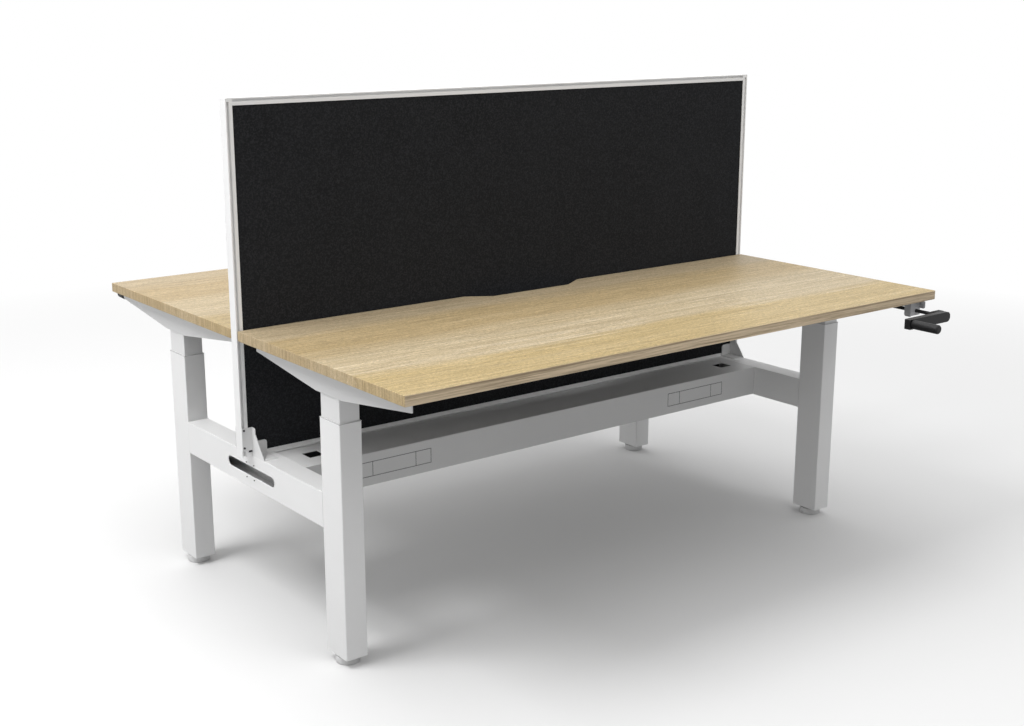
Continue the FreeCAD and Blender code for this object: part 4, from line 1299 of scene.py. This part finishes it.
@dataclass
class Screen:
    """The screen: its white frame, its board and a stretched cloth on each face."""

    cloth_step: float = 0.012
    slack_share: float = 0.1
    slack_waves: tuple[float, float] = (9.0, 7.0)

    def build(self) -> None:
        """Dress the frame and the board, and stretch the cloths."""
        for side in Side:
            dress(f"{side.value}_screen_post", POST_FRAME)
        dress("screen_top_rail", RAIL_FRAME)
        dress("screen_foot_rail", RAIL_FRAME)
        dress("screen_corner_caps", POST_FRAME)
        dress("screen_board", BOARD)
        for half in Half:
            self.cloth(half)

    def cloth(self, half: Half) -> None:
        """Stretch the cloth on one face, as a closed thin sheet.

        Args:
            half: The side of the screen.
        """
        low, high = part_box(f"{half.value}_screen_fabric")
        columns = round((high.x - low.x) / self.cloth_step)
        rows = round((high.z - low.z) / self.cloth_step)
        inner_y, outer_y = (high.y, low.y) if half is Half.FRONT else (low.y, high.y)
        mesh = bpy.data.meshes.new(f"{half.value}_screen_cloth")
        with reshaped(mesh) as shell:
            layers = [self.layer(shell, low, high, level, columns, rows) for level in (inner_y, outer_y)]
            self.close_edges(shell, layers)
            bmesh.ops.recalc_face_normals(shell, faces=shell.faces)
        coat(mesh, CLOTH)
        piece = link(mesh.name, mesh)
        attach(piece, "base")
        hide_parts(f"{half.value}_screen_fabric")
        log.info("%s: %d by %d weave cells", piece.name, columns, rows)

    def layer(self, shell: bmesh.types.BMesh, low: Vector, high: Vector, level: float, columns: int,
              rows: int) -> Grid:
        """Add one face of a cloth as a grid.

        Args:
            shell: The mesh that takes it.
            low: The cloth's lowest corner.
            high: The cloth's highest corner.
            level: Where the face lies along Y.
            columns: Cells along X.
            rows: Cells along Z.

        Returns:
            The grid's points, row by row.
        """
        middle = (low.y + high.y) / 2
        along, up = self.slack_waves
        grid = []
        for row in range(rows + 1):
            z = low.z + (high.z - low.z) * row / rows
            line = []
            for column in range(columns + 1):
                x = low.x + (high.x - low.x) * column / columns
                slack = math.sin(math.pi * row / rows) * math.sin(math.pi * column / columns)
                slack *= self.slack_share * math.sin(along * x + up * z) ** 2
                line.append(shell.verts.new((x, level + (middle - level) * slack, z)))
            grid.append(line)
        for below, above in zip(grid, grid[1:]):
            for column in range(columns):
                shell.faces.new((below[column], below[column + 1], above[column + 1], above[column]))
        return grid

    def close_edges(self, shell: bmesh.types.BMesh, layers: Sequence[Grid]) -> None:
        """Join the two faces of a cloth along their rims.

        Args:
            shell: The mesh.
            layers: The points of both faces.
        """
        rims = []
        for grid in layers:
            rim = grid[0][:-1] + [line[-1] for line in grid[:-1]]
            rim += grid[-1][:0:-1] + [line[0] for line in grid[:0:-1]]
            rims.append(rim)
        inner, outer = rims
        for index, point in enumerate(inner):
            follow = (index + 1) % len(inner)
            shell.faces.new((point, inner[follow], outer[follow], outer[index]))


@dataclass
class ScreenBracket:
    """One folded bracket that holds the screen's post on the end beam, with its two screws."""

    half: Half
    side: Side
    sheet: float = 0.0025
    screws: ButtonScrews = ButtonScrews(head_radius=0.0030, head_height=0.0012, shank_radius=0.0024)
    screw_inset: float = 0.0055
    screw_heights: tuple[float, float] = (0.0241, 0.0705)
    edges: SoftEdges = SoftEdges(0.0005)

    def build(self) -> None:
        """Dress the bracket and set the screws of its plate."""
        stem = f"{self.half.value}_{self.side.value}"
        node = f"{stem}_screen_bracket"
        self.edges.replace(node, "base", "white_steel", BRACKET_SHADED_WHITE)
        low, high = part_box(node)
        outer_x, out = outer_face(low, high)
        screen_face = high.y if self.half is Half.FRONT else low.y
        face_y = screen_face + self.half.sign * self.sheet
        places = []
        for height in self.screw_heights:
            spot = (outer_x - out * self.screw_inset, face_y, low.z + height)
            places.append((spot, (0.0, self.half.sign, 0.0)))
        self.screws.build(f"{stem}_bracket_screws", "base", places)


@dataclass(frozen=True)
class SoftLamp:
    """One wide soft light of the studio."""

    name: str
    place: Triple
    size: float
    power: float
    aim: Triple = (0.0, 0.0, 0.5)

    def hang(self) -> None:
        """Hang the light and turn it to its aim."""
        data = bpy.data.lights.new(self.name, "AREA")
        data.shape = "SQUARE"
        data.size = self.size
        data.energy = self.power
        light = link(self.name, data)
        light.location = self.place
        aim = Vector(self.aim) - Vector(self.place)
        light.rotation_euler = aim.to_track_quat("-Z", "Y").to_euler()


LAMPS = (
    SoftLamp("canopy", (0.0, 0.0, 6.5), 7.0, 172.0),
    SoftLamp("left_steep", (-3.2, 0.3, 4.6), 2.0, 126.0),
    SoftLamp("left_back", (-3.5, 2.5, 4.2), 3.0, 14.0),
    SoftLamp("left_low", (-5.0, 0.5, 1.2), 2.0, 20.0),
    SoftLamp("back_high", (0.0, 3.5, 4.5), 3.0, 58.0),
    SoftLamp("front_high", (0.5, -4.0, 4.5), 3.0, 48.0),
)


@dataclass
class Studio:
    """The pale floor, the soft lights, the white surround and the camera."""

    camera_place: Triple = (-2.4608, -3.1461, 1.5547)
    camera_turn: Triple = (75.609, 0.0, -37.778)
    lens: float = 49.845
    sensor_width: float = 36.0
    floor_size: float = 60.0
    floor_seen: float = 0.81
    floor_bounce: float = 0.45
    floor_fade: Span = Span(1.8, 4.5)
    sky: float = 0.446

    def build(self) -> None:
        """Set the studio up, the camera first."""
        self.camera()
        self.floor()
        for lamp in LAMPS:
            lamp.hang()
        self.surround()
        bpy.context.scene.view_settings.view_transform = "Standard"

    def camera(self) -> None:
        """Stand the camera where the photograph was taken from."""
        data = bpy.data.cameras.new("camera")
        data.lens = self.lens
        data.sensor_width = self.sensor_width
        camera = link("camera", data)
        camera.location = self.camera_place
        camera.rotation_euler = [math.radians(angle) for angle in self.camera_turn]
        bpy.context.scene.camera = camera

    def floor(self) -> None:
        """Lay the floor, which keeps the object's shadow and fades to white."""
        half = self.floor_size / 2
        mesh = bpy.data.meshes.new("floor")
        corners = [(-half, -half, 0.0), (half, -half, 0.0), (half, half, 0.0), (-half, half, 0.0)]
        mesh.from_pydata(corners, [], [(0, 1, 2, 3)])
        material = bpy.data.materials.new("pale_floor")
        material.use_nodes = True
        graph = NodeGraph(material.node_tree)
        direct = graph.node("ShaderNodeLightPath").outputs["Is Camera Ray"]
        pale = graph.spread(direct, Span(0.0, 1.0, self.floor_bounce, self.floor_seen))
        near = graph.wired("ShaderNodeBsdfDiffuse", {"Color": pale}).outputs[0]
        far = graph.node("ShaderNodeEmission").outputs[0]
        distance = graph.vectors("LENGTH", graph.node("ShaderNodeTexCoord").outputs["Object"])
        fade = graph.spread(distance.outputs["Value"], self.floor_fade)
        blend = graph.fed("ShaderNodeMixShader", (graph.product(fade, graph.seen()), near, far))
        graph.feed(graph.node("ShaderNodeOutputMaterial").inputs["Surface"], blend.outputs[0])
        mesh.materials.append(material)
        link("floor", mesh)

    def surround(self) -> None:
        """Make the world a soft light that is seen as plain white."""
        world = bpy.data.worlds.new("surround")
        bpy.context.scene.world = world
        world.use_nodes = True
        graph = NodeGraph(world.node_tree)
        lit = graph.fed("ShaderNodeBackground", (WHITE, self.sky)).outputs[0]
        plain = graph.fed("ShaderNodeBackground", (WHITE, 1.0)).outputs[0]
        blend = graph.fed("ShaderNodeMixShader", (graph.seen(), lit, plain))
        graph.feed(graph.node("ShaderNodeOutputWorld").inputs["Surface"], blend.outputs[0])


def main() -> None:
    """Build the studio and dress the workstation, piece by piece."""
    Studio().build()
    Base().build()
    LiftNuts().build()
    for half in Half:
        Desk(half).build()
        Drive(half).build()
    Screen().build()
    for half in Half:
        for side in Side:
            ScreenBracket(half, side).build()


if __name__ == "__main__":
    logging.basicConfig(level=logging.INFO, format="%(message)s")
    main()
